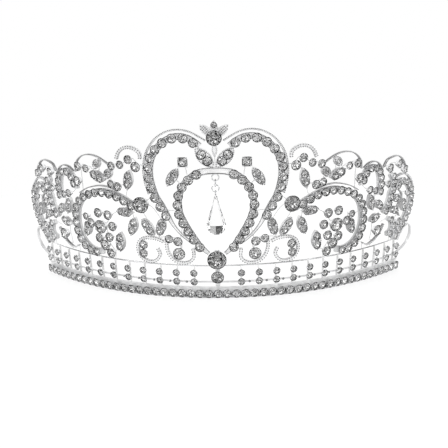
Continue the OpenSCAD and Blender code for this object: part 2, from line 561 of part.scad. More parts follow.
// Where each ring hangs: the middle of the wire above that carries it
HANG_1 = face_point(0, EYE_H - ring_r, EYE_D);
function next_hang(hang, r) = hang + [0, 0, 2 * chain_wire_r + RING_GAP - 2 * r];
HANG_2 = next_hang(HANG_1, ring_r);
HANG_3 = next_hang(HANG_2, ring_r);
HANG_4 = next_hang(HANG_3, drop_ring_r);
module chain_ring(r) {
    rotate_extrude($fn = 48) translate([r, 0]) circle(chain_wire_r, $fn = 16);
}
function ring_middle(hang, r) = hang + [0, 0, 2 * chain_wire_r + RING_GAP - r];
module pendant_eye() { color(METAL) on_face(0, EYE_H) translate([0, 0, EYE_D]) chain_ring(ring_r); }
module chain_ring_upper() {
    color(METAL) translate(ring_middle(HANG_1, ring_r)) rotate([0, 90, 0]) chain_ring(ring_r);
}
module chain_ring_middle() {
    color(METAL) translate(ring_middle(HANG_2, ring_r)) rotate([90, 0, 0]) chain_ring(ring_r);
}
module chain_ring_lower() {
    color(METAL) translate(ring_middle(HANG_3, drop_ring_r)) rotate([0, 90, 0]) chain_ring(drop_ring_r);
}
// Levels down the crystal: share of its height, of its width and of its thickness
DROP_LEVELS = [[-0.055, 0.16, 0.12], [0.02, 0.2, 0.25], [0.25, 0.44, 0.55], [0.5, 0.74, 0.85], [0.72, 1, 1],
    [0.88, 0.84, 0.8], [0.97, 0.5, 0.5], [1, 0.2, 0.2]];
DROP_SIDES = 12;
module pendant_crystal() {
    hole = HANG_4 - [0, 0, drop_hole_r - chain_wire_r - 0.2];
    color(CLEAR) translate(hole) difference() {
        joined_rings([for (level = DROP_LEVELS)
            [for (k = [0 : DROP_SIDES - 1])
                let (a = -360 * k / DROP_SIDES)
                [level[1] * drop_width / 2 * cos(a), level[2] * drop_thickness / 2 * sin(a),
                 -level[0] * drop_height]]]);
        rotate([90, 0, 0]) cylinder(r = drop_hole_r, h = 4 * drop_thickness, center = true, $fn = 24);
    }
}

base_band();
band_edge_wires();
band_settings();
band_stones();
lower_rail();
upper_rail();
picket_posts();
picket_settings();
picket_stones();
centre_post();
centre_settings();
centre_stones();
inner_heart();
inner_heart_settings();
inner_heart_stones();
outer_heart_left();
outer_heart_right();
outer_heart_rims();
outer_heart_settings();
outer_heart_stones();
finial_leaves();
finial_settings();
finial_stones();
cleft_leaves();
cleft_leaf_stones();
lobe_settings();
lobe_stones();
beaded_curl_left();
beaded_curl_right();
c_curl_left();
c_curl_right();
curl_settings();
curl_stones();
spray_leaves();
spray_stones();
small_top_arc_left();
small_top_arc_right();
large_top_arc_left();
large_top_arc_right();
main_scroll_left();
main_scroll_right();
scroll_settings();
scroll_stones();
flower_settings();
flower_stones();
side_arch_left();
side_arch_right();
far_loop_left();
far_loop_right();
side_settings();
side_stones();
end_loop_left();
end_loop_right();
support_wires();
pendant_eye();
chain_ring_upper();
chain_ring_middle();
chain_ring_lower();
pendant_crystal();
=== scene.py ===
"""Bridal tiara: cut stones in clawed cups, milgrain edges, leaves, a flower and a hanging crystal drop.

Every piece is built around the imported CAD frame. Lengths in the pattern are millimetres: s runs along the
band from its centre, h up the slope from the band's stone row, and d forward out of the metal face. They
become metres when a mesh is made.
"""

import json
import math
import random

import bmesh
import bpy
import numpy as np
from mathutils import Matrix, Vector


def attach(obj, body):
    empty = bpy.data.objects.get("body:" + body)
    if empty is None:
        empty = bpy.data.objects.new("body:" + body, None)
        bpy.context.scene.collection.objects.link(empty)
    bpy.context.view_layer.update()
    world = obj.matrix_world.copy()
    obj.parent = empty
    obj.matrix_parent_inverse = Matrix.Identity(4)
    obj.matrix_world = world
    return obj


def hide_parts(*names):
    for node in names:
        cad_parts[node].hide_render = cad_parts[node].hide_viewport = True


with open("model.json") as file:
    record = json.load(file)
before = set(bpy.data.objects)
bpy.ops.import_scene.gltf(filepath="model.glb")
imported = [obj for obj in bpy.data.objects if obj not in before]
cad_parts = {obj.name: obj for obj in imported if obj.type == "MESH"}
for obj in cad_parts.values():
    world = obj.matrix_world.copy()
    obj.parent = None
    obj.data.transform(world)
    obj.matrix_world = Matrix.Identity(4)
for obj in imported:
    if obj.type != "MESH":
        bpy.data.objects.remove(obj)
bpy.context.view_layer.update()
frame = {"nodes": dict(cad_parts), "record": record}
MM = 0.001
random.seed(7)

# The face is part of an ellipse in plan and leans forward
HALF_WIDTH = 87.2
HALF_DEPTH = 109.7
LEAN = math.radians(5.5)
ROW_HEIGHT = 1.8
BAR = 0.8
GIRDLE_D = 1.2
PLAN_SHIFT = -ROW_HEIGHT * math.tan(LEAN) - (BAR / 2 + GIRDLE_D) / math.cos(LEAN)

# ---- camera, light and floor ----

PIVOT = Vector((0, -1.78, 1.8)) * MM
CAMERA_TURN = math.radians(2.92)
CAMERA_RISE = math.radians(16.61)
CAMERA_ROLL = math.radians(1.24)
CAMERA_DISTANCE = 0.4499
CAMERA_LENS = 103.85
# Where the camera aims, to the right of the pivot and above it as the camera sees them
AIM_RIGHT = 2.58 * MM
AIM_UP = 24.2 * MM


def make_camera():
    back = Vector((
        math.sin(CAMERA_TURN) * math.cos(CAMERA_RISE),
        -math.cos(CAMERA_TURN) * math.cos(CAMERA_RISE),
        math.sin(CAMERA_RISE),
    ))
    right = Vector((math.cos(CAMERA_TURN), math.sin(CAMERA_TURN), 0))
    up = back.cross(right)
    camera = bpy.data.objects.new("camera", bpy.data.cameras.new("camera"))
    bpy.context.scene.collection.objects.link(camera)
    camera.data.lens = CAMERA_LENS
    camera.data.sensor_width = 36
    camera.data.clip_start = 0.01
    camera.data.clip_end = 20
    camera.location = PIVOT + back * CAMERA_DISTANCE
    forward = (PIVOT + right * AIM_RIGHT + up * AIM_UP - camera.location).normalized()
    camera_up = (up * math.cos(CAMERA_ROLL) + right * math.sin(CAMERA_ROLL)).normalized()
    side = forward.cross(camera_up).normalized()
    camera_up = side.cross(forward)
    camera.rotation_mode = "QUATERNION"
    camera.rotation_quaternion = Matrix((side, camera_up, -forward)).transposed().to_quaternion()
    bpy.context.scene.camera = camera


def new_node(tree, kind, **values):
    node = tree.nodes.new(kind)
    for key, value in values.items():
        setattr(node, key, value)
    return node


def feed(tree, sockets, values):
    """Sets each socket to a number, or links it to another node's output."""
    for socket, value in zip(sockets, values):
        if isinstance(value, (int, float)):
            socket.default_value = value
        else:
            tree.links.new(value, socket)


def math_node(tree, operation, a, b):
    node = new_node(tree, "ShaderNodeMath", operation=operation)
    feed(tree, node.inputs, (a, b))
    return node.outputs[0]


def vector_node(tree, operation, vector, other=None):
    node = new_node(tree, "ShaderNodeVectorMath", operation=operation)
    tree.links.new(vector, node.inputs[0])
    if other is not None:
        node.inputs[1].default_value = other
    return node.outputs["Value" if operation in ("DOT_PRODUCT", "LENGTH") else "Vector"]


def mixed(tree, choice, a, b):
    """The first value where the choice is 0 and the second where it is 1."""
    node = new_node(tree, "ShaderNodeMix", data_type="FLOAT")
    tree.links.new(choice, node.inputs[0])
    feed(tree, node.inputs[2:4], (a, b))
    return node.outputs[0]


def ranged(tree, value, low, high, from_low=0.0, from_high=1.0):
    """A value's range stretched onto another."""
    node = new_node(tree, "ShaderNodeMapRange")
    tree.links.new(value, node.inputs["Value"])
    ends = {"From Min": from_low, "From Max": from_high, "To Min": low, "To Max": high}
    for word, number in ends.items():
        node.inputs[word].default_value = number
    return node.outputs["Result"]


KEY_ENERGY = 1.0
FILL_ENERGY = 0.5
# How far the sky lights the floor, how far the floor glows, and how dark a room the metal sees
FLOOR_LIGHT = 1.0
FLOOR_GLOW = 0.78
ROOM_DARK = 0.02
# Inside the tiara's curve, as a share of its radius, the floor shines less into the metal: a painted shadow
# under the tiara that only reflections show
PAINTED_SHADOW_START = 0.94
PAINTED_SHADOW_GLOW = 0.08
# What cut stones and the drop see: panels in front, and a grey and a dark panel low behind
PANEL_SCALE = 4.2
PANEL_BRIGHT = 2.3
PANEL_DARK = 0.01
BACK_TOP = 0.7
BACK_GREY = 0.5
BACK_DARK = 0.05
BACK_SPLIT = 0.06
CARD_BRIGHT = 3.0
# Each card's direction and its size, as the cosine of half its angle
CARDS = (
    ((-0.7, -0.5, 0.5), 0.97),
    ((0.8, -0.35, 0.5), 0.975),
    ((0.05, -0.82, 0.55), 0.993),
    ((-0.2, 0.0, 1.0), 0.98),
    ((-0.38, -0.9, 0.25), 0.991),
    ((0.32, -0.93, 0.1), 0.99),
    ((-0.1, -0.95, -0.12), 0.993),
)
CARD_EDGE = 0.01
# The white sweep stands behind, from this depth on and up to this height
SWEEP_START = 0.3
SWEEP_TOP = 0.56


def seen_by_metal(tree, ray, axes, behind):
    """Bright round cards in a dark room, and a white sweep behind."""
    cards = None
    for direction, size in CARDS:
        facing = vector_node(tree, "DOT_PRODUCT", ray, Vector(direction).normalized())
        card = ranged(tree, facing, 0.0, 1.0, size - CARD_EDGE, size + CARD_EDGE)
        cards = card if cards is None else math_node(tree, "MAXIMUM", cards, card)
    below = math_node(tree, "LESS_THAN", axes["Z"], SWEEP_TOP)
    sweep = math_node(tree, "MULTIPLY", behind, below)
    lamps = math_node(tree, "MAXIMUM", math_node(tree, "MULTIPLY", cards, CARD_BRIGHT), sweep)
    return math_node(tree, "ADD", lamps, ROOM_DARK)


def seen_by_glass(tree, ray, axes, behind):
    """Bright and dark panels in front, and white behind with a grey and a dark panel below."""
    panels = new_node(tree, "ShaderNodeTexChecker")
    tree.links.new(ray, panels.inputs["Vector"])
    panels.inputs["Scale"].default_value = PANEL_SCALE
    in_front = mixed(tree, panels.outputs["Fac"], PANEL_DARK, PANEL_BRIGHT)
    low = math_node(tree, "LESS_THAN", axes["Z"], BACK_TOP)
    dark_side = math_node(tree, "LESS_THAN", axes["X"], BACK_SPLIT)
    back = mixed(tree, low, 1.0, mixed(tree, dark_side, BACK_GREY, BACK_DARK))
    return mixed(tree, behind, in_front, back)


def make_world():
    """White for the eye and the floor. Metal and glass each see surroundings of their own."""
    world = bpy.data.worlds.new("studio")
    bpy.context.scene.world = world
    world.use_nodes = True
    tree = world.node_tree
    tree.nodes.clear()
    ray = new_node(tree, "ShaderNodeTexCoord").outputs["Generated"]
    separated = new_node(tree, "ShaderNodeSeparateXYZ")
    tree.links.new(ray, separated.inputs[0])
    axes = separated.outputs
    behind = math_node(tree, "GREATER_THAN", axes["Y"], SWEEP_START)
    metal_sees = seen_by_metal(tree, ray, axes, behind)
    glass_sees = seen_by_glass(tree, ray, axes, behind)
    path = new_node(tree, "ShaderNodeLightPath").outputs
    shiny = mixed(tree, path["Is Transmission Ray"], metal_sees, glass_sees)
    lit = math_node(tree, "MULTIPLY", path["Is Diffuse Ray"], FLOOR_LIGHT)
    plain = math_node(tree, "MAXIMUM", lit, path["Is Camera Ray"])
    is_plain = math_node(tree, "MAXIMUM", path["Is Diffuse Ray"], path["Is Camera Ray"])
    background = new_node(tree, "ShaderNodeBackground")
    background.inputs["Color"].default_value = (1, 1, 1, 1)
    tree.links.new(mixed(tree, is_plain, shiny, plain), background.inputs["Strength"])
    output = new_node(tree, "ShaderNodeOutputWorld")
    tree.links.new(background.outputs[0], output.inputs["Surface"])


# What the lights aim at, the middle of the face
LIGHT_AIM = (0, 0.01, 0.03)


def area_light(name, place, size, energy):
    light = bpy.data.lights.new(name, "AREA")
    light.shape = "DISK"
    light.size = size
    light.energy = energy
    lamp = bpy.data.objects.new(name, light)
    bpy.context.scene.collection.objects.link(lamp)
    lamp.location = place
    lamp.rotation_mode = "QUATERNION"
    lamp.rotation_quaternion = (Vector(LIGHT_AIM) - Vector(place)).to_track_quat("-Z", "Y")


FLOOR_R = 0.2
FLOOR_SIDES = 96
# The floor's gap under the band
FLOOR_GAP = 0.02 * MM


def make_floor(material):
    bpy.ops.mesh.primitive_circle_add(
        vertices=FLOOR_SIDES, radius=FLOOR_R, fill_type="NGON", location=(0, 0, -FLOOR_GAP)
    )
    floor = bpy.context.object
    floor.name = "floor"
    floor.data.materials.append(material)


# ---- materials ----


def principled(name):
    material = bpy.data.materials.new(name)
    material.use_nodes = True
    return material, material.node_tree, material.node_tree.nodes["Principled BSDF"]


def noise(tree, scale, detail=3.0):
    place = new_node(tree, "ShaderNodeTexCoord")
    node = new_node(tree, "ShaderNodeTexNoise")
    node.inputs["Scale"].default_value = scale
    node.inputs["Detail"].default_value = detail
    tree.links.new(place.outputs["Object"], node.inputs["Vector"])
    return node.outputs["Fac"]


def colour_ramp(tree, value, stops):
    node = new_node(tree, "ShaderNodeValToRGB")
    tree.links.new(value, node.inputs["Fac"])
    ramp = node.color_ramp
    for element, (place, colour) in zip(ramp.elements, stops):
        element.position = place
        element.color = (*colour, 1)
    return node.outputs["Color"]


def bump(tree, shader, height, strength, distance):
    node = new_node(tree, "ShaderNodeBump")
    node.inputs["Strength"].default_value = strength
    node.inputs["Distance"].default_value = distance
    tree.links.new(height, node.inputs["Height"])
    tree.links.new(node.outputs["Normal"], shader.inputs["Normal"])


# How fine the tarnish, the polish and the casting's unevenness are
TARNISH_SCALE = 260
POLISH_SCALE = 900
CAST_SCALE = 2200
TARNISH = 0.86


def silver(name, colour, low_roughness, high_roughness, grain, metallic=1.0):
    """Bright silver plate: cloudy polish, faint tarnish and the small unevenness of a casting."""
    material, tree, shader = principled(name)
    shader.inputs["Metallic"].default_value = metallic
    dull = tuple(TARNISH * c for c in colour)
    tint = colour_ramp(tree, noise(tree, TARNISH_SCALE), ((0.35, dull), (0.6, colour)))
    tree.links.new(tint, shader.inputs["Base Color"])
    polish = ranged(tree, noise(tree, POLISH_SCALE, 4.0), low_roughness, high_roughness)
    tree.links.new(polish, shader.inputs["Roughness"])
    bump(tree, shader, noise(tree, CAST_SCALE, 2.0), 0.12, grain * MM)
    return material


def cut_glass(name, colour, ior):
    material, tree, shader = principled(name)
    shader.inputs["Transmission Weight"].default_value = 1.0
    shader.inputs["IOR"].default_value = ior
    shader.inputs["Roughness"].default_value = 0.0
    pale = tuple(0.97 * c for c in colour)
    tint = colour_ramp(tree, noise(tree, 400), ((0.3, pale), (0.7, colour)))
    tree.links.new(tint, shader.inputs["Base Color"])
    return material


def foil(name, dark, bright):
    """The mirror foil behind a rhinestone, uneven between two greys."""
    material, tree, shader = principled(name)
    shader.inputs["Metallic"].default_value = 1.0
    shader.inputs["Roughness"].default_value = 0.02
    tint = colour_ramp(tree, noise(tree, 1500), ((0.3, (dark,) * 3), (0.7, (bright,) * 3)))
    tree.links.new(tint, shader.inputs["Base Color"])
    return material


def paper(name):
    """The floor's grey paper. It glows, but inside the tiara's curve it glows less into the metal: a painted
    shadow under the tiara, seen in reflections only.
    """
    material, tree, shader = principled(name)
    tint = colour_ramp(tree, noise(tree, 30), ((0.3, (0.22,) * 3), (0.7, (0.25,) * 3)))
    tree.links.new(tint, shader.inputs["Base Color"])
    shader.inputs["Roughness"].default_value = 0.7
    place = new_node(tree, "ShaderNodeTexCoord").outputs["Object"]
    middle = (0, (HALF_DEPTH + PLAN_SHIFT) * MM, 0)
    from_middle = vector_node(tree, "SUBTRACT", place, middle)
    in_radii = vector_node(tree, "DIVIDE", from_middle, (HALF_WIDTH * MM, HALF_DEPTH * MM, 1))
    reach = vector_node(tree, "LENGTH", in_radii)
    # Dimmer glow inside the tiara's curve, for all but camera and transmission rays: painted shadow
    ahead = ranged(tree, reach, PAINTED_SHADOW_GLOW, 1.0, PAINTED_SHADOW_START, 1.0)
    path = new_node(tree, "ShaderNodeLightPath").outputs
    seen = math_node(tree, "MAXIMUM", path["Is Camera Ray"], path["Is Transmission Ray"])
    tree.links.new(math_node(tree, "MAXIMUM", ahead, seen), shader.inputs["Emission Color"])
    shader.inputs["Emission Strength"].default_value = FLOOR_GLOW
    return material


FRAME_SILVER = silver("frame_silver", (0.96, 0.965, 0.97), 0.06, 0.18, 0.02)
CUP_SILVER = silver("cup_silver", (0.93, 0.935, 0.945), 0.08, 0.2, 0.015)
LEAF_SILVER = silver("leaf_silver", (0.92, 0.92, 0.925), 0.25, 0.45, 0.05, 0.6)
# A mid-grey copy of the silver for thin strips and bar edges: painted shade, so they read as grey lines
LINE_PAINTED_SHADE = silver("line_painted_shade", (0.66, 0.66, 0.665), 0.3, 0.45, 0.02, 0.75)
POST_SILVER = silver("post_silver", (1.0, 1.0, 1.0), 0.4, 0.6, 0.01, 0.05)
# A dark grey copy of the silver for edge wires, milgrain and grains: painted shade that outlines bars and
# dots the beads
EDGE_PAINTED_SHADE = silver("edge_painted_shade", (0.36, 0.36, 0.365), 0.15, 0.3, 0.03)
# A slightly darker copy of the silver for the ledge under the band's stones: painted shade
GAP_PAINTED_SHADE = silver("gap_painted_shade", (0.88, 0.88, 0.885), 0.3, 0.5, 0.02, 0.6)
SATIN_SILVER = silver("satin_silver", (0.97, 0.972, 0.975), 0.4, 0.6, 0.01, 0.45)
BAND_SILVER = silver("band_silver", (0.98, 0.98, 0.982), 0.36, 0.5, 0.02, 0.35)
# Near-black silver for the recess round each stone: painted shade where the recess lies in shadow
RECESS_PAINTED_SHADE = silver("recess_painted_shade", (0.05, 0.05, 0.055), 0.35, 0.5, 0.02)
WIRE_SILVER = silver("wire_silver", (0.94, 0.945, 0.955), 0.08, 0.2, 0.02)
STONE_GLASS = cut_glass("stone_glass", (1.0, 1.0, 1.0), 1.6)
DROP_GLASS = cut_glass("drop_glass", (0.995, 0.998, 1.0), 1.52)
FOIL = foil("stone_foil", 0.32, 0.9)
DEEP_FOIL = foil("deep_foil", 0.18, 0.78)
FLOOR_PAPER = paper("floor_paper")

# ---- the wrapped face, as the CAD has it ----

ARC_DEGREES = np.arange(0, 68)
ARC_MIDDLES = np.radians(ARC_DEGREES[:-1] + 0.5)
ARC_LENGTHS = np.concatenate([
    [0],
    np.cumsum(np.radians(1) * np.hypot(HALF_WIDTH * np.cos(ARC_MIDDLES), HALF_DEPTH * np.sin(ARC_MIDDLES))),
])


def face_point(s, h, d=0.0):
    """Points in millimetres at s along the band, h up the slope and d out of the face."""
    s, h, d = np.broadcast_arrays(*(np.asarray(v, float) for v in (s, h, d)))
    t = np.radians(np.sign(s) * np.interp(np.abs(s), ARC_LENGTHS, ARC_DEGREES))
    turn = np.arctan2(HALF_DEPTH * np.sin(t), HALF_WIDTH * np.cos(t))
    behind = GIRDLE_D - d
    out = h * math.sin(LEAN) - behind * math.cos(LEAN)
    return np.stack([
        HALF_WIDTH * np.sin(t) + out * np.sin(turn),
        HALF_DEPTH * (1 - np.cos(t)) - out * np.cos(turn) + PLAN_SHIFT,
        ROW_HEIGHT + h * math.cos(LEAN) + behind * math.sin(LEAN),
    ], -1)


def smooth(points, steps=6):
    """A Catmull-Rom curve through control points."""
    p = np.array(points, float)
    last = len(p) - 1
    rows = []
    for i in range(last):
        a, b, c, d = p[max(i - 1, 0)], p[i], p[i + 1], p[min(i + 2, last)]
        square = 2 * a - 5 * b + 4 * c - d
        cube = 3 * b - a - 3 * c + d
        for u in np.arange(steps) / steps:
            rows.append((2 * b + (c - a) * u + square * u**2 + cube * u**3) / 2)
    return np.array([*rows, p[last]])


def mirrored(path):
    return np.asarray(path, float) * ([-1] + [1] * (len(path[0]) - 1))


def evenly(path, spacing, margin=0.0):
    """Places along a curve about one spacing apart, with a margin left at both ends."""
    path = np.asarray(path, float)[:, :2]
    length = np.concatenate([[0], np.cumsum(np.linalg.norm(np.diff(path, axis=0), axis=1))])
    last = length[-1] - margin
    count = max(2, int(round((last - margin) / spacing)) + 1)
    at = np.linspace(margin, last, count)
    return np.stack([np.interp(at, length, path[:, 0]), np.interp(at, length, path[:, 1])], -1)


def directions(path):
    path = np.asarray(path, float)[:, :2]
    step = np.gradient(path, axis=0)
    return step / np.linalg.norm(step, axis=1, keepdims=True)


def leftwards(path):
    """At each point of a curve, the direction to its left."""
    ahead = directions(path)
    return np.column_stack([-ahead[:, 1], ahead[:, 0]])


# ---- making pieces ----


def make_piece(name, points, faces, materials, slot, node=None, face_materials=None, crease=35):
    """A piece from points in millimetres. Edges sharper than the crease stay sharp: 0 leaves it all flat."""
    mesh = bpy.data.meshes.new(name)
    mesh.from_pydata((np.asarray(points, float) * MM).tolist(), [], [list(f) for f in faces])
    for material in materials:
        mesh.materials.append(material)
    if face_materials is not None:
        mesh.polygons.foreach_set("material_index", np.asarray(face_materials, np.int32))
    if crease:
        mesh.polygons.foreach_set("use_smooth", [True] * len(mesh.polygons))
        mesh.set_sharp_from_angle(angle=math.radians(crease))
    mesh.update()
    piece = bpy.data.objects.new(name, mesh)
    bpy.context.scene.collection.objects.link(piece)
    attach(piece, "tiara")
    if node:
        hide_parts(node)


def joined(shapes):
    """Several (points, faces) shapes as one."""
    points, faces, start = [], [], 0
    for p, f in shapes:
        points.append(np.asarray(p, float))
        faces.extend([[i + start for i in face] for face in f])
        start += len(p)
    return np.concatenate(points), faces


def copies(template, matrices):
    """One shape at many places: matrices are 4x4, in millimetres."""
    points, faces = template
    matrices = np.asarray(matrices, float)
    moved = np.einsum("kij,vj->kvi", matrices[:, :3, :3], points) + matrices[:, None, :3, 3]
    starts = range(0, len(matrices) * len(points), len(points))
    return moved.reshape(-1, 3), [[start + i for i in face] for start in starts for face in faces]


def ring_of(count, radius, z, turn=0.0):
    turns = np.radians(turn + np.arange(count) * 360 / count)
    return np.column_stack([radius * np.cos(turns), radius * np.sin(turns), np.full(count, z)])


def tube(rings):
    """Equal rings of points joined into a closed solid."""
    rings = np.asarray(rings, float)
    count, n = rings.shape[:2]
    faces = [
        [i * n + k, i * n + (k + 1) % n, (i + 1) * n + (k + 1) % n, (i + 1) * n + k]
        for i in range(count - 1)
        for k in range(n)
    ]
    faces.append(list(range(n))[::-1])
    faces.append([(count - 1) * n + k for k in range(n)])
    return rings.reshape(-1, 3), faces


CORNER_POINTS = 4


def rounded_section(half, back, front, corner):
    """A rectangle with rounded corners, as rows of (across, depth)."""
    corner = min(corner, half * 0.98, (front - back) / 2 * 0.98)
    rows = []
    for quarter, (x, y) in enumerate(((1, 1), (-1, 1), (-1, -1), (1, -1))):
        across = x * (half - corner)
        depth = front - corner if y > 0 else back + corner
        for angle in np.radians(90 * quarter + np.linspace(0, 90, CORNER_POINTS)):
            rows.append((across + corner * math.cos(angle), depth + corner * math.sin(angle)))
    return np.array(rows)


def sweep(path, section_of):
    """A section carried along a path of [s, h, half width]. section_of gives the section for a half width."""
    path = np.asarray(path, float)
    ahead = directions(path)
    rings = []
    for (s, h, half), (ds, dh) in zip(path, ahead):
        section = section_of(half)
        rings.append(face_point(s - dh * section[:, 0], h + ds * section[:, 0], section[:, 1]))
    return tube(rings)


def with_half(path, half):
    path = np.asarray(path, float)[:, :2]
    return np.column_stack([path, np.full(len(path), half)])


# How far the bars of the scrolls and sides stand out round the cups
RAISED = 0.25
STRIP_HALF = 0.28
STRIP_BACK = -0.72
STRIP_FRONT = 0.5
FINE_HALF = 0.2
EDGE_WIRE_R = 0.12


def flat_bar(path, front=0.0, corner=0.18):
    """A flat bar along control points of [s, h, width]."""
    curve = smooth(path)
    curve[:, 2] /= 2
    return sweep(curve, lambda half: rounded_section(half, -BAR, front, corner))


def edge_strip(path, half=STRIP_HALF, front=STRIP_FRONT):
    """A narrow strip on edge along control points of [s, h]."""
    return sweep(with_half(smooth(path), half), lambda w: rounded_section(w, STRIP_BACK, front, 0.3))


def round_wire(path, r, d, sides):
    turns = np.radians(np.arange(sides) * 360 / sides)
    ring = np.column_stack([r * np.cos(turns), d + r * np.sin(turns)])
    return sweep(with_half(path, r), lambda half: ring)


def bar_edges(path, front=0.0):
    """Fine wires along both edges of a flat bar."""
    curve = smooth(path)
    reach = (curve[:, 2:] / 2 - 0.7 * EDGE_WIRE_R) * leftwards(curve)
    return [round_wire(curve[:, :2] + way * reach, EDGE_WIRE_R, front - 0.02, 6) for way in (1, -1)]


def ball(rings, sides):
    """A small round bead of radius 1."""
    rows = [[0, 0, 1]]
    for ring in range(1, rings):
        tilt = math.pi * ring / rings
        rows += ring_of(sides, math.sin(tilt), math.cos(tilt)).tolist()
    rows.append([0, 0, -1])
    faces = [[0, 1 + k, 1 + (k + 1) % sides] for k in range(sides)]
    for ring in range(rings - 2):
        a, b = 1 + ring * sides, 1 + (ring + 1) * sides
        faces.extend([[a + k, b + k, b + (k + 1) % sides, a + (k + 1) % sides] for k in range(sides)])
    end, a = len(rows) - 1, 1 + (rings - 2) * sides
    faces.extend([[a + k, end, a + (k + 1) % sides] for k in range(sides)])
    return np.array(rows), faces


BEAD = ball(5, 8)


def beads_at(points, r):
    """Beads at points in millimetres."""
    points = np.asarray(points, float)
    matrices = np.zeros((len(points), 4, 4))
    matrices[:, :3, :3] = np.eye(3) * r
    matrices[:, :3, 3] = points
    return copies(BEAD, matrices)


def bead_row(path, r, spacing, d):
    places = evenly(path, spacing)
    return beads_at(face_point(places[:, 0], places[:, 1], d), r)


# ---- where the CAD puts its stones and leaves ----

# Corners of one solid that lie closer than this are the same
SAME_PLACE = 0.002 * MM


def islands(node):
    """The separate solids of a CAD node, each as an array of points in millimetres."""
    bm = bmesh.new()
    bm.from_mesh(frame["nodes"][node].data)
    bmesh.ops.remove_doubles(bm, verts=bm.verts, dist=SAME_PLACE)
    found = []
    unseen = set(bm.verts)
    while unseen:
        heap = [unseen.pop()]
        island = []
        while heap:
            vertex = heap.pop()
            island.append(tuple(vertex.co))
            for edge in vertex.link_edges:
                other = edge.other_vert(vertex)
                if other in unseen:
                    unseen.remove(other)
                    heap.append(other)
        found.append(np.array(island) / MM)
    bm.free()
    return sorted(found, key=lambda p: tuple(np.round(p.mean(0), 2)))


def outward(place):
    """The face's normal near a place."""
    x, y = place[0] / HALF_WIDTH**2, (place[1] - HALF_DEPTH - PLAN_SHIFT) / HALF_DEPTH**2
    level = Vector((x, y, 0)).normalized()
    return np.array((level * math.cos(LEAN) - Vector((0, 0, math.sin(LEAN))))[:])


def local_axes(normal):
    """x along the band, y up the slope and z out of the face."""
    x = np.cross((0, 0, 1), normal)
    x /= np.linalg.norm(x)
    return np.column_stack([x, np.cross(normal, x), normal])


def placed(axes, origin, size=1.0):
    matrix = np.eye(4)
    matrix[:3, :3] = axes * size
    matrix[:3, 3] = origin
    return matrix


def turn_z(angle):
    c, s = math.cos(angle), math.sin(angle)
    return np.array([[c, -s, 0], [s, c, 0], [0, 0, 1]])


def turn_y(angle):
    c, s = math.cos(angle), math.sin(angle)
    return np.array([[c, 0, s], [0, 1, 0], [-s, 0, c]])


def spun(axes, turn):
    return axes @ turn_z(turn)


def extent(points, axes):
    """The lowest and highest of a solid's coordinates along the given axes."""
    local = points @ axes
    return local.min(0), local.max(0)


def own_axes(points):
    """A solid's axes where it lies on the face."""
    return local_axes(outward((points.min(0) + points.max(0)) / 2))


# Stones whose middles are nearer than this, in their own radii, are in one row
ROW_REACH = 3.2


def round_stones(node):
    """Each round stone of a CAD node: its axes, its lowest point and its radius. x lies along its row."""
    found = []
    for points in islands(node):
        axes = own_axes(points)
        low, high = extent(points, axes)
        middle = (low + high) / 2
        found.append([axes, axes @ np.array([middle[0], middle[1], low[2]]), (high[0] - low[0]) / 2])
    tips = np.array([tip for _, tip, _ in found])
    for entry, tip in zip(found, tips):
        away = np.linalg.norm(tips - tip, axis=1)
        away[away < 0.01] = np.inf
        near = int(np.argmin(away))
        if away[near] < ROW_REACH * entry[2]:
            step = (tips[near] - tip) @ entry[0]
            entry[0] = spun(entry[0], math.atan2(step[1], step[0]))
    return found


# ---- cut stones and cups ----

# The parts of a brilliant, in its own radii
PAVILION = 0.8
GIRDLE = 0.08
CROWN = 0.34
STONE_HEIGHT = PAVILION + GIRDLE + CROWN
TABLE = 0.56
STAR_REACH = 0.79
LOWER_HALF_REACH = 0.28


def brilliant():
    """A round brilliant of radius 1, its point at the origin: points, faces and which faces carry foil."""
    half = math.cos(math.radians(22.5))
    star_z = STONE_HEIGHT - CROWN * (STAR_REACH * half - TABLE) / (1 - TABLE)
    table = ring_of(8, TABLE, STONE_HEIGHT)
    star = ring_of(8, STAR_REACH, star_z, 22.5)
    upper = ring_of(16, 1, PAVILION + GIRDLE)
    lower = ring_of(16, 1, PAVILION)
    keel = ring_of(8, LOWER_HALF_REACH, PAVILION * LOWER_HALF_REACH * half, 22.5)
    points = np.concatenate([table, star, upper, lower, keel, [[0, 0, 0]]])
    t, m, u, g, n, c = 0, 8, 16, 32, 48, 56
    faces, foiled = [list(range(8))], [0]
    for k in range(8):
        after, before = (k + 1) % 8, (k - 1) % 8
        a, b, d = 2 * k, 2 * k + 1, (2 * k + 2) % 16
        faces += [
            [t + k, m + k, t + after],
            [t + k, m + before, u + a, m + k],
            [m + k, u + a, u + b],
            [m + k, u + b, u + d],
            [u + a, g + a, g + b, u + b],
            [u + b, g + b, g + d, u + d],
            [n + k, g + b, g + a],
            [n + k, g + d, g + b],
            [c, n + k, g + a, n + before],
        ]
        foiled += [0, 0, 0, 0, 0, 0, 1, 1, 1]
    return points, faces, foiled


BRILLIANT = brilliant()
# How far a stone's lowest point stands in front of the metal
CUP_TIP = 0.25
CUP_WALL = 0.24
CUP_SIDES = 20
# A recess of this width runs round the stone. From this row of the cup's profile on it is painted near-black:
# painted shade in the recess
RECESS = 0.21
PAINTED_SHADE_FROM = 8
CLAWS = 4
CLAW_LEAN = math.radians(-24)


ON_AXIS = 1e-6


def turned(profile, sides=CUP_SIDES):
    """A profile of (radius, z) turned about z. Points on the axis close it."""
    points, faces, starts = [], [], []
    for radius, z in profile:
        starts.append(len(points))
        points.extend([[0, 0, z]] if radius < ON_AXIS else ring_of(sides, radius, z).tolist())
    for i in range(len(profile) - 1):
        a, b = starts[i], starts[i + 1]
        for k in range(sides):
            j = (k + 1) % sides
            if profile[i][0] < ON_AXIS:
                faces.append([a, b + k, b + j][::-1])
            elif profile[i + 1][0] < ON_AXIS:
                faces.append([a + k, a + j, b])
            else:
                faces.append([a + k, a + j, b + j, b + k])
    return np.array(points), faces


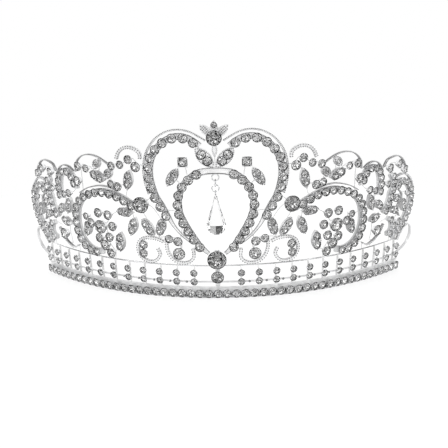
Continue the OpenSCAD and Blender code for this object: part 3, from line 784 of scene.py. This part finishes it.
def cup_profile(r, base):
    """A cup's section as (radius, z): a tapered wall, a round rim and a recess round the stone."""
    rim = PAVILION * r + 0.1
    return [
        (0, 0.02 - CUP_TIP), (base * r, 0.02 - CUP_TIP), ((base + 0.12) * r, 0.2), ((base + 0.15) * r, 0.3),
        (r + 0.2, rim - 0.16), (r + CUP_WALL, rim - 0.06), (r + CUP_WALL - 0.02, rim + 0.03),
        (r + RECESS + 0.01, rim + 0.05), (r + RECESS, rim + 0.01), (r + RECESS - 0.01, rim - 0.1),
        (r + 0.01, rim - 0.26), (0, -0.03),
    ]


def clawed_cup(r, claw_r, turned_by):
    """A tapered cup and its claws for a stone of radius r, with the stone's lowest point at the origin."""
    points, faces = turned(cup_profile(r, 0.7))
    # Faces from the recess row on take the near-black silver: painted shade
    shades = [int(i // CUP_SIDES >= PAINTED_SHADE_FROM) for i in range(len(faces))]
    shapes = [(points, faces)]
    for k in range(CLAWS):
        radial = turn_z(2 * math.pi * (k + turned_by) / CLAWS)
        place = radial @ np.array([r + 0.04, 0, PAVILION * r + 0.2 * r])
        size = np.diag([claw_r, claw_r, 1.9 * claw_r])
        shapes.append(copies(BEAD, [placed(radial @ turn_y(CLAW_LEAN) @ size, place)]))
        shades += [0] * len(BEAD[1])
    return *joined(shapes), shades


def make_cups(name, node, cups):
    """Cups as ((points, faces, shades), place), their recesses in near-black silver as painted shade."""
    shape = joined([copies(cup[:2], [place]) for cup, place in cups])
    shades = [shade for cup, _ in cups for shade in cup[2]]
    looks = [CUP_SILVER, RECESS_PAINTED_SHADE]
    make_piece(name, *shape, looks, "setting_plate", node, face_materials=shades)


def make_cut_stones(name, node, places, foils=(FOIL,), foil_of=None, points=BRILLIANT[0]):
    """Cut stones, glass above and foil below. foil_of is each stone's foil, the first one when not given."""
    _, faces, foiled = BRILLIANT
    shape = copies((points, faces), places)
    shades = [(1 + choice) * shade for choice in foil_of or [0] * len(places) for shade in foiled]
    looks = [STONE_GLASS, *foils]
    make_piece(name, *shape, looks, "rhinestone", node, face_materials=shades, crease=0)


def turned_at_random(axes, tip, r):
    """Where a stone lies, turned about its own axis."""
    return placed(spun(axes, random.uniform(0, 6.3)), tip, r)


SMALL_STONE = 1.8


def set_stones(name, claw_r=0.2, turned_by=0.5, small=1.0, large=1.0, deep=2.4):
    """Cut stones and clawed cups for a pair of CAD nodes, the small and the large stones a little wider.

    Claws are turned by a part of the angle between them. Stones of a larger radius than deep have darker
    foil.
    """
    found = round_stones(f"{name}_stones")
    stones = [(axes, tip, r * (large if r > SMALL_STONE else small)) for axes, tip, r in found]
    places = [turned_at_random(*stone) for stone in stones]
    foil_of = [int(r > deep) for _, _, r in stones]
    make_cut_stones(f"{name}_stones_cut", f"{name}_stones", places, (FOIL, DEEP_FOIL), foil_of)
    cups = [(clawed_cup(r, claw_r, turned_by), placed(axes, tip)) for axes, tip, r in stones]
    make_cups(f"{name}_cups", f"{name}_settings", cups)


# ---- the pattern on the right-hand side: control points [s, h] or [s, h, width], and places ----

BAND_HALF = 79.3
BAND_TOP = 2.0
BAND_LOW = -1.5
RAIL_HALF = BAND_HALF - 1.3
WIRE_R = 0.36
BACK_WIRE_D = -BAR - 0.02 - WIRE_R
FIRST_PICKET = 8.2
PICKET_PITCH = 6.2
PICKETS = 12

INNER_HEART = [
    [0, 44.2, 2], [3, 44.1, 2], [5.9, 43.3, 2.3], [8.6, 41.3, 2.3], [10.9, 38.6, 2.3], [12.2, 35.5, 2.3],
    [12.6, 32.2, 2.3], [12.2, 28.8, 2.3], [11, 25.8, 2.3], [9.6, 23.1, 2.3], [8, 20.4, 2.3],
    [6.2, 17.8, 2], [4.4, 15.8, 1.6], [2.8, 14.4, 1.2],
]
OUTER_HEART = [
    [4.6, 53, 1.6], [6.7, 54.4, 2.3], [9.4, 55.8, 2.3], [12.6, 56, 2.3], [15.9, 54.6, 2.3],
    [18.8, 52, 2.3], [20.9, 48.8, 2.3], [21.9, 45.2, 2.3], [22, 41.4, 2.3], [21.3, 37.7, 2.3],
    [20.2, 34.3, 2.3], [18.4, 31.2, 2.3], [16.7, 28.2, 1.8], [14.7, 24.4, 1.1], [12, 21.1, 0.9],
    [9, 18.6, 0.9],
]
OUTER_RIM = [
    [2.9, 54.7], [5.4, 56.4], [8.2, 57.9], [11.6, 58.5], [15.2, 57.8], [18.4, 55.9], [20.9, 53.2],
    [22.7, 50], [23.7, 46.4], [24, 42.6], [23.6, 38.8], [22.7, 35.4],
]
BEADED_CURL = [
    [17.6, 18.6], [17.5, 15.9], [16.6, 13.4], [14.7, 11.5], [12.1, 10.8], [9.6, 11.4], [8.1, 13.2],
    [8.3, 16.2],
]
C_CURL = [
    [18.7, 18.3], [21, 19.2], [24, 19.5], [26.8, 18.8], [28.4, 16.6], [28.3, 13.6], [26.4, 11.3],
    [23.6, 10.7], [21.3, 11.7], [20.2, 13.8], [21, 15.8],
]
SMALL_ARC = [
    [25.1, 47.8], [25.2, 49.7], [26.7, 51.1], [29, 51.7], [31.4, 51.1], [33.2, 49.4], [34.2, 47.2],
]
LARGE_ARC = [
    [36.9, 44.2], [39.2, 45.8], [42.2, 47.2], [45.3, 47.7], [48.4, 47.2], [51, 45.7], [52.8, 43.4],
    [53.3, 40.6],
]
MAIN_SCROLL = [
    [27, 29.5], [29.3, 31], [32, 32.5], [35, 33.8], [38.2, 34.5], [41.6, 34.7], [45, 34], [48.2, 32.8],
    [51.2, 31.1], [53.5, 28.4], [54.8, 25], [55.1, 21.5], [54.5, 18], [52.8, 14.9], [50.1, 12.8],
    [47, 12], [43.8, 12.3],
]
SCROLL_RIM = [[35.2, 35.8], [38.4, 36.6], [42, 36.8], [45.6, 36.1], [49, 34.9], [52.4, 33]]
SIDE_ARCH = [
    [53.9, 34.3], [54.2, 36.6], [55.5, 39], [57.7, 40.3], [60.3, 39.9], [62.2, 38], [63.2, 35.2],
    [63.4, 32.2], [62.8, 29.4],
]
SIDE_ARCH_RIM = [[54.6, 40.6], [56.8, 42], [59.4, 42.3], [61.9, 41.3], [63.8, 39.2], [64.7, 36.6]]
LOW_STRIP = [[67.6, 17.6], [65.4, 14.6], [62.4, 12.4], [59, 11.4], [56.4, 12.6]]
FAR_STRIP = [[69.5, 36], [70.9, 33.8], [71.1, 31.2], [70, 28.8], [69.4, 26.2], [68.2, 23.9], [66.6, 22]]
FAR_LOOP = [
    [73.9, 10.9], [76.5, 13.4], [79.4, 15.4], [82, 17.9], [83.9, 21], [84.6, 24.5], [83.7, 27.9],
    [81.3, 30.6], [78.2, 32.1], [75.2, 32.2], [73.3, 30.3],
]
FAR_CURL = [[70, 19.2], [72.1, 18], [72.9, 15.9], [72, 13.9], [70, 13.2]]
FAR_RIM = [[73.2, 34.4], [76.8, 35], [80.6, 33.9], [84, 31.3], [86.3, 27.7], [87, 23.6], [86, 19.7]]
FAR_TOP_STRIP = [
    [64.9, 39.4], [66.6, 41.6], [69.6, 42.4], [73, 42.3], [76, 40.8], [78.3, 38.4], [79.4, 35.6],
]
FAR_S_STRIP = [[75.4, 29.2], [77.8, 27.4], [77.9, 25.2], [76.3, 23], [76.2, 20.8], [77.6, 18.8]]
END_LOOP = [
    [77.9, 4.1], [79.6, 4.6], [82.8, 5.5], [86.1, 7], [88.3, 9.4], [88, 12.5], [85.4, 14], [82, 13.2],
    [79.6, 11.2], [77.9, 9.3],
]
SIDES = ((1, "right"), (-1, "left"))


def sided(path, side):
    return path if side > 0 else mirrored(path).tolist()


def of_width(path, width):
    return [[*point[:2], width] for point in path]


SLOTS = {part["node"]: part["material_slot"] for part in frame["record"]["subparts"]}


def metal(name, shapes, node=None, material=FRAME_SILVER, slot="frame_plate"):
    """A metal piece from shapes. The slot of the CAD node it replaces is looked up, but make_piece does not
    use it.
    """
    make_piece(name, *joined(shapes), [material], SLOTS.get(node, slot), node)


# ---- band, rails and pickets ----

BAND_STEPS = 161
BAND_ROUND = 0.15
LEDGE_H = -1.66
LEDGE_HALF = 0.14


def band_foot(s, d):
    """The band's edge, level with what the tiara stands on."""
    return face_point(s, -(ROW_HEIGHT + (GIRDLE_D - d) * math.sin(LEAN)) / math.cos(LEAN), d)


def make_band():
    rings = []
    for s in np.linspace(-BAND_HALF, BAND_HALF, BAND_STEPS):
        rings.append([
            band_foot(s, 0),
            face_point(s, BAND_TOP - BAND_ROUND, 0),
            face_point(s, BAND_TOP, -BAND_ROUND),
            face_point(s, BAND_TOP, BAND_ROUND - BAR),
            face_point(s, BAND_TOP - BAND_ROUND, -BAR),
            band_foot(s, -BAR),
        ])
    metal("band_strip", [tube(rings)], "base_band", BAND_SILVER)
    ends = BAND_HALF - 0.3
    ledge = with_half([[s, LEDGE_H] for s in np.linspace(-ends, ends, BAND_STEPS)], LEDGE_HALF)
    section = rounded_section(LEDGE_HALF, -0.1, 1.1, 0.08)
    # The ledge in the slightly darker silver: painted shade along the band's lower edge
    metal("band_ledge", [sweep(ledge, lambda half: section)], None, GAP_PAINTED_SHADE)
    rows = [bead_row([[-ends, h], [ends, h]], 0.18, 0.62, 0.0) for h in (BAND_LOW, BAND_TOP - 0.22)]
    metal("band_milgrain", rows, "band_edge_wires", SATIN_SILVER)


# Each rail's height, the radius of its wire and its metal
RAILS = {
    "lower_rail": (3.5, 0.32, SATIN_SILVER),
    "upper_rail": (9.5, 0.24, WIRE_SILVER),
}
POST_WIDTH = 0.34
CENTRE_WIDTH = 1.6
CENTRE_TOP = 15.5
RAIL_BEAD_R = 0.45


def make_rails():
    for node, (h, wire_r, material) in RAILS.items():
        line = [[s, h] for s in np.linspace(-RAIL_HALF, RAIL_HALF, 150)]
        metal(f"{node}_wire", [round_wire(line, wire_r, BACK_WIRE_D, 12)], node, material)
    low, high = (h for h, _, _ in RAILS.values())
    foot = BAND_TOP + 0.02
    places = [side * (FIRST_PICKET + k * PICKET_PITCH) for side, _ in SIDES for k in range(PICKETS)]
    posts = [flat_bar([[s, foot, POST_WIDTH], [s, high + 0.1, POST_WIDTH]], corner=0.04) for s in places]
    metal("picket_bars", posts, "picket_posts", POST_SILVER)
    column = flat_bar([[0, foot, CENTRE_WIDTH], [0, CENTRE_TOP, CENTRE_WIDTH]])
    boss_axes = local_axes(outward(face_point(0, 3))) @ np.diag([0.85, 0.75, 0.6])
    boss = copies(BEAD, [placed(boss_axes, face_point(0, 3.1))])
    metal("centre_bar", [column, boss], "centre_post", SATIN_SILVER)
    between = np.arange(PICKETS - 1) + 0.5
    beads = np.concatenate([side * (FIRST_PICKET + between * PICKET_PITCH) for side, _ in SIDES])
    row = beads_at(face_point(beads, low, BACK_WIRE_D + 0.3), RAIL_BEAD_R)
    # The beads between the pickets are dark grey silver: painted shade
    metal("rail_beads", [row], None, EDGE_PAINTED_SHADE, "wire_plate")


# ---- hearts, curls, arcs, scrolls and sides ----


def milgrain(path, rows=(1, -1), r=0.18, reach=0.24, pitch=0.7):
    """Rows of beads along a strip's front edges: 1 is to the left along the path, -1 to the right."""
    places = evenly(smooth(path), pitch, 0.3)
    across = leftwards(places) * reach
    beads = np.concatenate([places + row * across for row in rows])
    return beads_at(face_point(beads[:, 0], beads[:, 1], STRIP_FRONT - 0.06), r)


# Wires behind the face, each as its points of (s, h)
SUPPORTS = (
    ((0, 45), (0, 53.5)), ((9.2, 41), (10.3, 47.8)), ((12.2, 39.5), (13.6, 40.8)),
    ((21.6, 35), (24.5, 32.5), (28.5, 30.5)), ((19.4, 26), (21.8, 29.6), (24.6, 31.8)),
    ((23.9, 24.2), (26, 28), (28.2, 30.2)), ((12.8, 14.8), (12.6, 18.4), (16.4, 19.8), (20.6, 19.4)),
    ((11.6, 24.8), (12.8, 19.4), (12.9, 15.2)), ((29.8, 24), (30.2, 27.6), (30.6, 31.4)),
    ((29.4, 27.9), (33.6, 28.4), (38.4, 26.6), (42.2, 22.2)), ((17, 29.6), (14.4, 29.4), (12.4, 29.2)),
    ((22.2, 45.2), (26.3, 45.4), (29, 47.8), (32.2, 45.6), (35.6, 44.9), (37.2, 42.4)),
    ((26.4, 45.2), (29.2, 43.4), (30.1, 40.2), (31.4, 36.4), (32.6, 32.9)),
    ((30.6, 37.4), (33.8, 37.6), (37.2, 38.6), (42.8, 40.2), (46.9, 42.8), (50.4, 43.3), (52.9, 42.6)),
    ((37.6, 42.8), (38.2, 40.6), (37, 34.6)), ((42.6, 46.8), (42.6, 43.4), (43.2, 40.4)),
    ((51.6, 42.6), (51.6, 37.7), (51.9, 31)), ((54, 36), (51.8, 37.4)),
    ((42.2, 22.2), (48, 22.8), (54.6, 24.4)), ((42.2, 22.2), (41.2, 15.4), (39.1, 12.6), (39.4, 9.9)),
    ((35.6, 18.4), (35.2, 14.4), (39, 12.8), (44, 12.2)), ((49.4, 25), (50, 20.2), (53.8, 17.4)),
    ((54, 35), (57.2, 32.4), (60.2, 31.4), (63, 30.6)), ((54.9, 25.4), (59.2, 27.4), (62.8, 29.6)),
    ((62.8, 29.6), (62.6, 26.8), (64.6, 25), (66.4, 22.6)), ((55, 21.4), (61.9, 20.9), (66, 22.2)),
    ((61.9, 21), (62.2, 16.5), (61.4, 12.2)), ((63.4, 33.8), (67.2, 32.8), (70.8, 33.4)),
    ((64.2, 38), (67.1, 38.9), (72.6, 39.6), (76.6, 36.9), (79.2, 36.6)),
    ((70.8, 34), (73.6, 34), (76, 32.4)), ((69.6, 27.2), (73.5, 26.4), (77.4, 26.2)),
    ((68.4, 24.6), (73.3, 21.9), (76.2, 21.8)), ((77.7, 26.8), (80.9, 27), (83.9, 27)),
    ((76.4, 23.2), (79.8, 22.6), (84.2, 22.6)), ((70.2, 18.8), (67.4, 18.2)),
    ((77.6, 19), (75.6, 17.2), (72.6, 17.2)), ((57.6, 12), (57.6, 9.9)), ((47, 12), (47, 9.9)),
    ((73.8, 11.4), (73.6, 9.9)), ((62.2, 12.4), (62.2, 9.9)), ((12.1, 11), (12.1, 9.9)),
    ((23.7, 11), (23.7, 9.9)), ((72, 13.9), (73.8, 11.4)), ((53, 15), (56.4, 12.6)),
)
SUPPORT_R = 0.13
SUPPORT_D = -BAR - 0.32


def make_supports():
    wires = []
    for path in SUPPORTS:
        on_centre_line = path[0][0] == 0
        for side, _ in SIDES[:1] if on_centre_line else SIDES:
            wires.append(round_wire(smooth(sided(path, side), 3), SUPPORT_R, SUPPORT_D, 8))
    metal("support_wire_set", wires, "support_wires", SATIN_SILVER)


# The lower edge of the inner heart's top bar, from the middle to the right, where a dark wire paints the
# shade under the bar
HEART_LIP = [[0, 43.2], [1.7, 43.15], [3.3, 42.98], [5, 42.45]]


def both_sides(path):
    """A path that starts on the centre line, carried on to the other side."""
    return mirrored(path)[::-1].tolist() + path[1:]


def make_hearts():
    loop = both_sides(INNER_HEART)
    metal("inner_heart_bar", [flat_bar(loop)], "inner_heart", BAND_SILVER)
    lip = round_wire(smooth(both_sides(HEART_LIP)), 0.18, 0.0, 8)
    # Edge wires and lip in the dark edge silver: painted shade outlining the heart bar
    metal("inner_heart_edges", [*bar_edges(loop), lip], None, EDGE_PAINTED_SHADE)
    rims, beads = [], []
    for side, word in SIDES:
        bar = sided(OUTER_HEART, side)
        metal(f"outer_heart_bar_{word}", [flat_bar(bar)], f"outer_heart_{word}", BAND_SILVER)
        # Edge wires in the dark edge silver: painted shade outlining the bar
        metal(f"outer_heart_edges_{word}", bar_edges(bar), None, EDGE_PAINTED_SHADE)
        rim = sided(OUTER_RIM, side)
        rims.append(edge_strip(rim))
        beads.append(milgrain(rim, (side,), 0.21, pitch=0.6))
    metal("outer_heart_rim_strips", rims, "outer_heart_rims", SATIN_SILVER)
    # Dark grey milgrain beads: painted shade along the rim
    metal("outer_heart_milgrain", beads, None, EDGE_PAINTED_SHADE, "wire_plate")


# The strips of the curls and the small arcs are broad and low, with a row of beads on each side
BEADED_HALF = 0.56
BEADED_FRONT = 0.36
BEADED_PATHS = {"beaded_curl": BEADED_CURL, "c_curl": C_CURL, "small_top_arc": SMALL_ARC}


def make_strips():
    for side, word in SIDES:
        for name, right_path in BEADED_PATHS.items():
            path = sided(right_path, side)
            beads = milgrain(path, r=0.2, reach=0.42, pitch=0.86)
            # Dark grey milgrain beads: painted shade along the strip
            metal(f"{name}_milgrain_{word}", [beads], None, EDGE_PAINTED_SHADE, "wire_plate")
            strip = edge_strip(path, BEADED_HALF, BEADED_FRONT)
            metal(f"{name}_strip_{word}", [strip], f"{name}_{word}", SATIN_SILVER)
        arc = edge_strip(sided(LARGE_ARC, side), FINE_HALF)
        # The large arc's strip in mid-grey silver: painted shade
        metal(f"large_top_arc_strip_{word}", [arc], f"large_top_arc_{word}", LINE_PAINTED_SHADE)
        loop = edge_strip(sided(END_LOOP, side))
        metal(f"end_loop_strip_{word}", [loop], f"end_loop_{word}", SATIN_SILVER)


# Each group's bars with their widths, its strips, and the one strip that carries beads
BAR_GROUPS = (
    ("main_scroll", ((MAIN_SCROLL, 2.3),), (SCROLL_RIM,), None),
    ("side_arch", ((SIDE_ARCH, 2),), (SIDE_ARCH_RIM, LOW_STRIP), LOW_STRIP),
    (
        "far_loop", ((FAR_STRIP, 1.9), (FAR_LOOP, 2), (FAR_CURL, 1.8)),
        (FAR_RIM, FAR_TOP_STRIP, FAR_S_STRIP), FAR_RIM,
    ),
)


def make_scrolls_and_sides():
    for side, word in SIDES:
        for name, right_bars, right_strips, beaded in BAR_GROUPS:
            bars = [sided(of_width(path, width), side) for path, width in right_bars]
            shapes = [flat_bar(bar, RAISED) for bar in bars]
            metal(f"{name}_bars_{word}", shapes, f"{name}_{word}", SATIN_SILVER)
            edges = [edge_strip(sided(path, side), FINE_HALF) for path in right_strips]
            for bar in bars:
                edges += bar_edges(bar, RAISED)
            # Mid-grey edges and rim strips: painted shade outlining the bars
            metal(f"{name}_edges_{word}", edges, None, LINE_PAINTED_SHADE)
            if beaded:
                metal(f"{name}_milgrain_{word}", [milgrain(sided(beaded, side))])


# ---- leaves ----

# Each leaf node, with the node of its stones
LEAF_NODES = {"spray": ("spray_leaves", "spray_stones"), "cleft": ("cleft_leaves", "cleft_leaf_stones")}
LEAF_BEAD_R = 0.24
LEAF_BEAD_PITCH = 0.62
LEAF_STONE_SCALE = 1.1
# The painted shade in the bezel's recess starts at this row of its profile
BEZEL_PAINTED_SHADE_FROM = 4


def pointed_arc(x, length, width):
    """How far the edge of a pointed oval lies from its long axis."""
    r = (length**2 + width**2) / 4 / width
    return np.sqrt(np.maximum(r**2 - x**2, 0)) - (r - width / 2)


def leaf_frames(node):
    """Each leaf of a CAD node: its axes with x along it, its middle, length and width."""
    found = []
    for points in islands(node):
        axes = own_axes(points)
        flat = points @ axes
        far = flat[np.argmax(np.linalg.norm(flat[:, :2] - flat[:, :2].mean(0), axis=1))]
        other = flat[np.argmax(np.linalg.norm(flat[:, :2] - far[:2], axis=1))]
        axes = spun(axes, math.atan2(*(far - other)[[1, 0]]))
        low, high = extent(points, axes)
        origin = axes @ np.array([*((low + high) / 2)[:2], high[2]])
        found.append((axes, origin, high[0] - low[0], high[1] - low[1]))
    return found


def leaf_beads(axes, origin, length, width):
    """Milgrain round the edge of a pointed leaf."""
    x = np.linspace(-1, 1, 41) * (length / 2 - 0.2)
    y = pointed_arc(x, length, width) - 0.1
    above = evenly(np.column_stack([x, y]), LEAF_BEAD_PITCH)
    below = evenly(np.column_stack([x, -y]), LEAF_BEAD_PITCH)[1:-1]
    places = np.concatenate([above, below])
    local = np.column_stack([places, np.full(len(places), -0.02)])
    return beads_at(origin + local @ axes.T, LEAF_BEAD_R)


def bezel(r):
    """A raised ring round a stone that is let into a leaf, and the recess inside it, painted near-black as
    painted shade.
    """
    seat = PAVILION * r + 0.06
    points, faces = turned([
        (r + 0.02, seat - 0.06), (r + 0.3, seat - 0.06), (r + 0.32, seat + 0.05), (r + 0.28, seat + 0.13),
        (r + 0.24, seat + 0.1), (r + 0.02, seat - 0.05),
    ])
    return points, faces, [int(i // CUP_SIDES >= BEZEL_PAINTED_SHADE_FROM) for i in range(len(faces))]


def make_leaves():
    for word, (leaf_node, stone_node) in LEAF_NODES.items():
        beads = [leaf_beads(*leaf) for leaf in leaf_frames(leaf_node)]
        # Dark grey milgrain round each leaf: painted shade
        metal(f"{word}_leaf_milgrain", beads, None, EDGE_PAINTED_SHADE)
        stones = [(axes, tip, LEAF_STONE_SCALE * r) for axes, tip, r in round_stones(stone_node)]
        rings = [(bezel(r), placed(axes, tip)) for axes, tip, r in stones]
        make_cups(f"{word}_leaf_bezels", None, rings)
        places = [turned_at_random(*stone) for stone in stones]
        make_cut_stones(f"{word}_leaf_stones_cut", stone_node, places)


# ---- finial ----


FINIAL_H = 56.2
BASE_R = 2.2
# The petal above the large stone and the drop below it: length, width, height from the stone, dome
FINIAL_PLATES = ((6, 3, 2.4, 0.1), (5.4, 1.9, -4.6, 0.5))
# The side leaves: length, width, and where their middles lie from the stone
SIDE_LEAF = (6, 2.9)
SIDE_LEAF_OUT = 2.55
SIDE_LEAF_UP = 1.8
SIDE_LEAF_TURN = 46
GRAIN_PITCH = 0.66
GRAIN_R = 0.24


def pointed_outline(length, width):
    """A pointed oval along x as (x, y) points, counterclockwise."""
    x = np.cos(np.linspace(0, math.pi, 17)) * length / 2
    y = pointed_arc(x, length, width)
    return np.concatenate([np.column_stack([x, y]), np.column_stack([-x, -y])[1:-1]])


def bevelled_plate(outline, dome=0.0, bevel=0.15):
    """A plate with a bevelled front edge, and a raised middle when domed."""
    outline = np.asarray(outline, float)
    middle = outline.mean(0)
    size = np.linalg.norm(outline - middle, axis=1).mean()
    rings = []
    for scale, z in ((1, -BAR), (1, -bevel), (1 - bevel / size, 0), (0.5, dome)):
        flat = middle + (outline - middle) * scale
        rings.append(np.column_stack([flat, np.full(len(flat), z)]))
    return tube(rings)


def on_face(s, h, turn=0.0):
    """Where a flat shape lies on the face at s and h, turned by an angle in degrees."""
    axes = local_axes(outward(face_point(s, h, GIRDLE_D)))
    return placed(spun(axes, math.radians(turn)), face_point(s, h, 0))


def leaf_grains():
    """The beads that fill a side leaf, as points in the leaf's own plane."""
    rows = []
    for along in np.arange(-1.6, 2.7, GRAIN_PITCH):
        reach = 1 - (along / 3.1) ** 2
        rows += [[along, across, 0.1] for across in np.arange(-1, 2) * GRAIN_PITCH if abs(across) <= reach]
    return np.array(rows)


def make_finial():
    plates = [copies(bevelled_plate(ring_of(32, BASE_R, 0)[:, :2]), [on_face(0, FINIAL_H)])]
    for length, width, up, dome in FINIAL_PLATES:
        plate = bevelled_plate(pointed_outline(length, width), dome)
        plates.append(copies(plate, [on_face(0, FINIAL_H + up, 90)]))
    metal("finial_plate", plates, "finial_leaves", SATIN_SILVER)
    places = [
        on_face(side * SIDE_LEAF_OUT, FINIAL_H + SIDE_LEAF_UP, 90 - side * SIDE_LEAF_TURN)
        for side, _ in SIDES
    ]
    leaves = copies(bevelled_plate(pointed_outline(*SIDE_LEAF), dome=0.1), places)
    metal("finial_side_leaves", [leaves], None, SATIN_SILVER)
    grains, _ = copies((leaf_grains(), []), places)
    # Dark grey grains on the side leaves: painted shade
    metal("finial_grains", [beads_at(grains, GRAIN_R)], None, EDGE_PAINTED_SHADE)


# ---- square stones in the lobes ----


LOBE_FIT = 0.97
LOBE_SIDES = 32
LOBE_CLAW_R = 0.42


def square_outline(turn):
    """A square with rounded corners and a half width of 1, as x and y at each angle."""
    c, s = np.cos(turn), np.sin(turn)
    reach = (np.abs(c) ** 6 + np.abs(s) ** 6) ** (-1 / 6)
    return reach * c, reach * s


def squared(points):
    """Moves each point in or out so that a circle becomes a rounded square."""
    reach = np.hypot(points[:, 0], points[:, 1])
    x, y = square_outline(np.arctan2(points[:, 1], points[:, 0]))
    return np.column_stack([reach * x, reach * y, points[:, 2]])


def square_box(r):
    """A cup with a claw at each corner, for a square stone."""
    points, faces = turned(cup_profile(r, 0.6), LOBE_SIDES)
    # Faces from the recess row on take the near-black silver: painted shade
    shades = [int(i // LOBE_SIDES >= PAINTED_SHADE_FROM) for i in range(len(faces))]
    shapes = [(squared(points), faces)]
    size = np.diag([LOBE_CLAW_R, LOBE_CLAW_R, 1.8 * LOBE_CLAW_R])
    for corner in np.radians([45, 135, 225, 315]):
        x, y = square_outline(corner)
        reach = r + 0.06
        claw = placed(size, (x * reach, y * reach, PAVILION * r + 0.2 * r))
        shapes.append(copies(BEAD, [claw]))
        shades += [0] * len(BEAD[1])
    return *joined(shapes), shades


def make_lobe_squares():
    stones, boxes = [], []
    for points in islands("lobe_stones"):
        axes = own_axes(points)
        low, high = extent(points, axes)
        cad_r = (high[0] - low[0]) / 2
        tip = axes @ np.array([*((low + high) / 2)[:2], high[2] - STONE_HEIGHT * cad_r + 0.35])
        r = cad_r * LOBE_FIT
        stones.append(placed(axes, tip, r))
        boxes.append((square_box(r), placed(axes, tip)))
    make_cut_stones("lobe_stones_cut", "lobe_stones", stones, points=squared(BRILLIANT[0]))
    make_cups("lobe_boxes", "lobe_settings", boxes)


# ---- build ----


def finish_cad_nodes():
    """Materials for the CAD's own meshes: the crystal, the leaves, the eye and the rings stay in view."""
    for node, piece in frame["nodes"].items():
        material = WIRE_SILVER
        if node == "pendant_crystal":
            material = DROP_GLASS
        elif node.endswith("_leaves"):
            material = LEAF_SILVER
        piece.data.materials.clear()
        piece.data.materials.append(material)


bpy.context.scene.view_settings.view_transform = "Standard"
make_camera()
make_world()
make_floor(FLOOR_PAPER)
area_light("key", (-0.5, -0.9, 1.4), 1.2, KEY_ENERGY)
area_light("fill", (0.9, -0.5, 1.0), 1.0, FILL_ENERGY)
finish_cad_nodes()

make_band()
make_rails()
make_supports()
make_hearts()
make_strips()
make_scrolls_and_sides()
make_leaves()
make_finial()
make_lobe_squares()
set_stones("band")
set_stones("finial")
for row in ("inner_heart", "outer_heart", "curl"):
    set_stones(row, small=1.1)
set_stones("side", small=1.07)
set_stones("scroll", small=1.1, large=1.22)
set_stones("flower", small=1.18)
set_stones("picket", claw_r=0.27, turned_by=0)
set_stones("centre", claw_r=0.27, turned_by=0, deep=1.9)
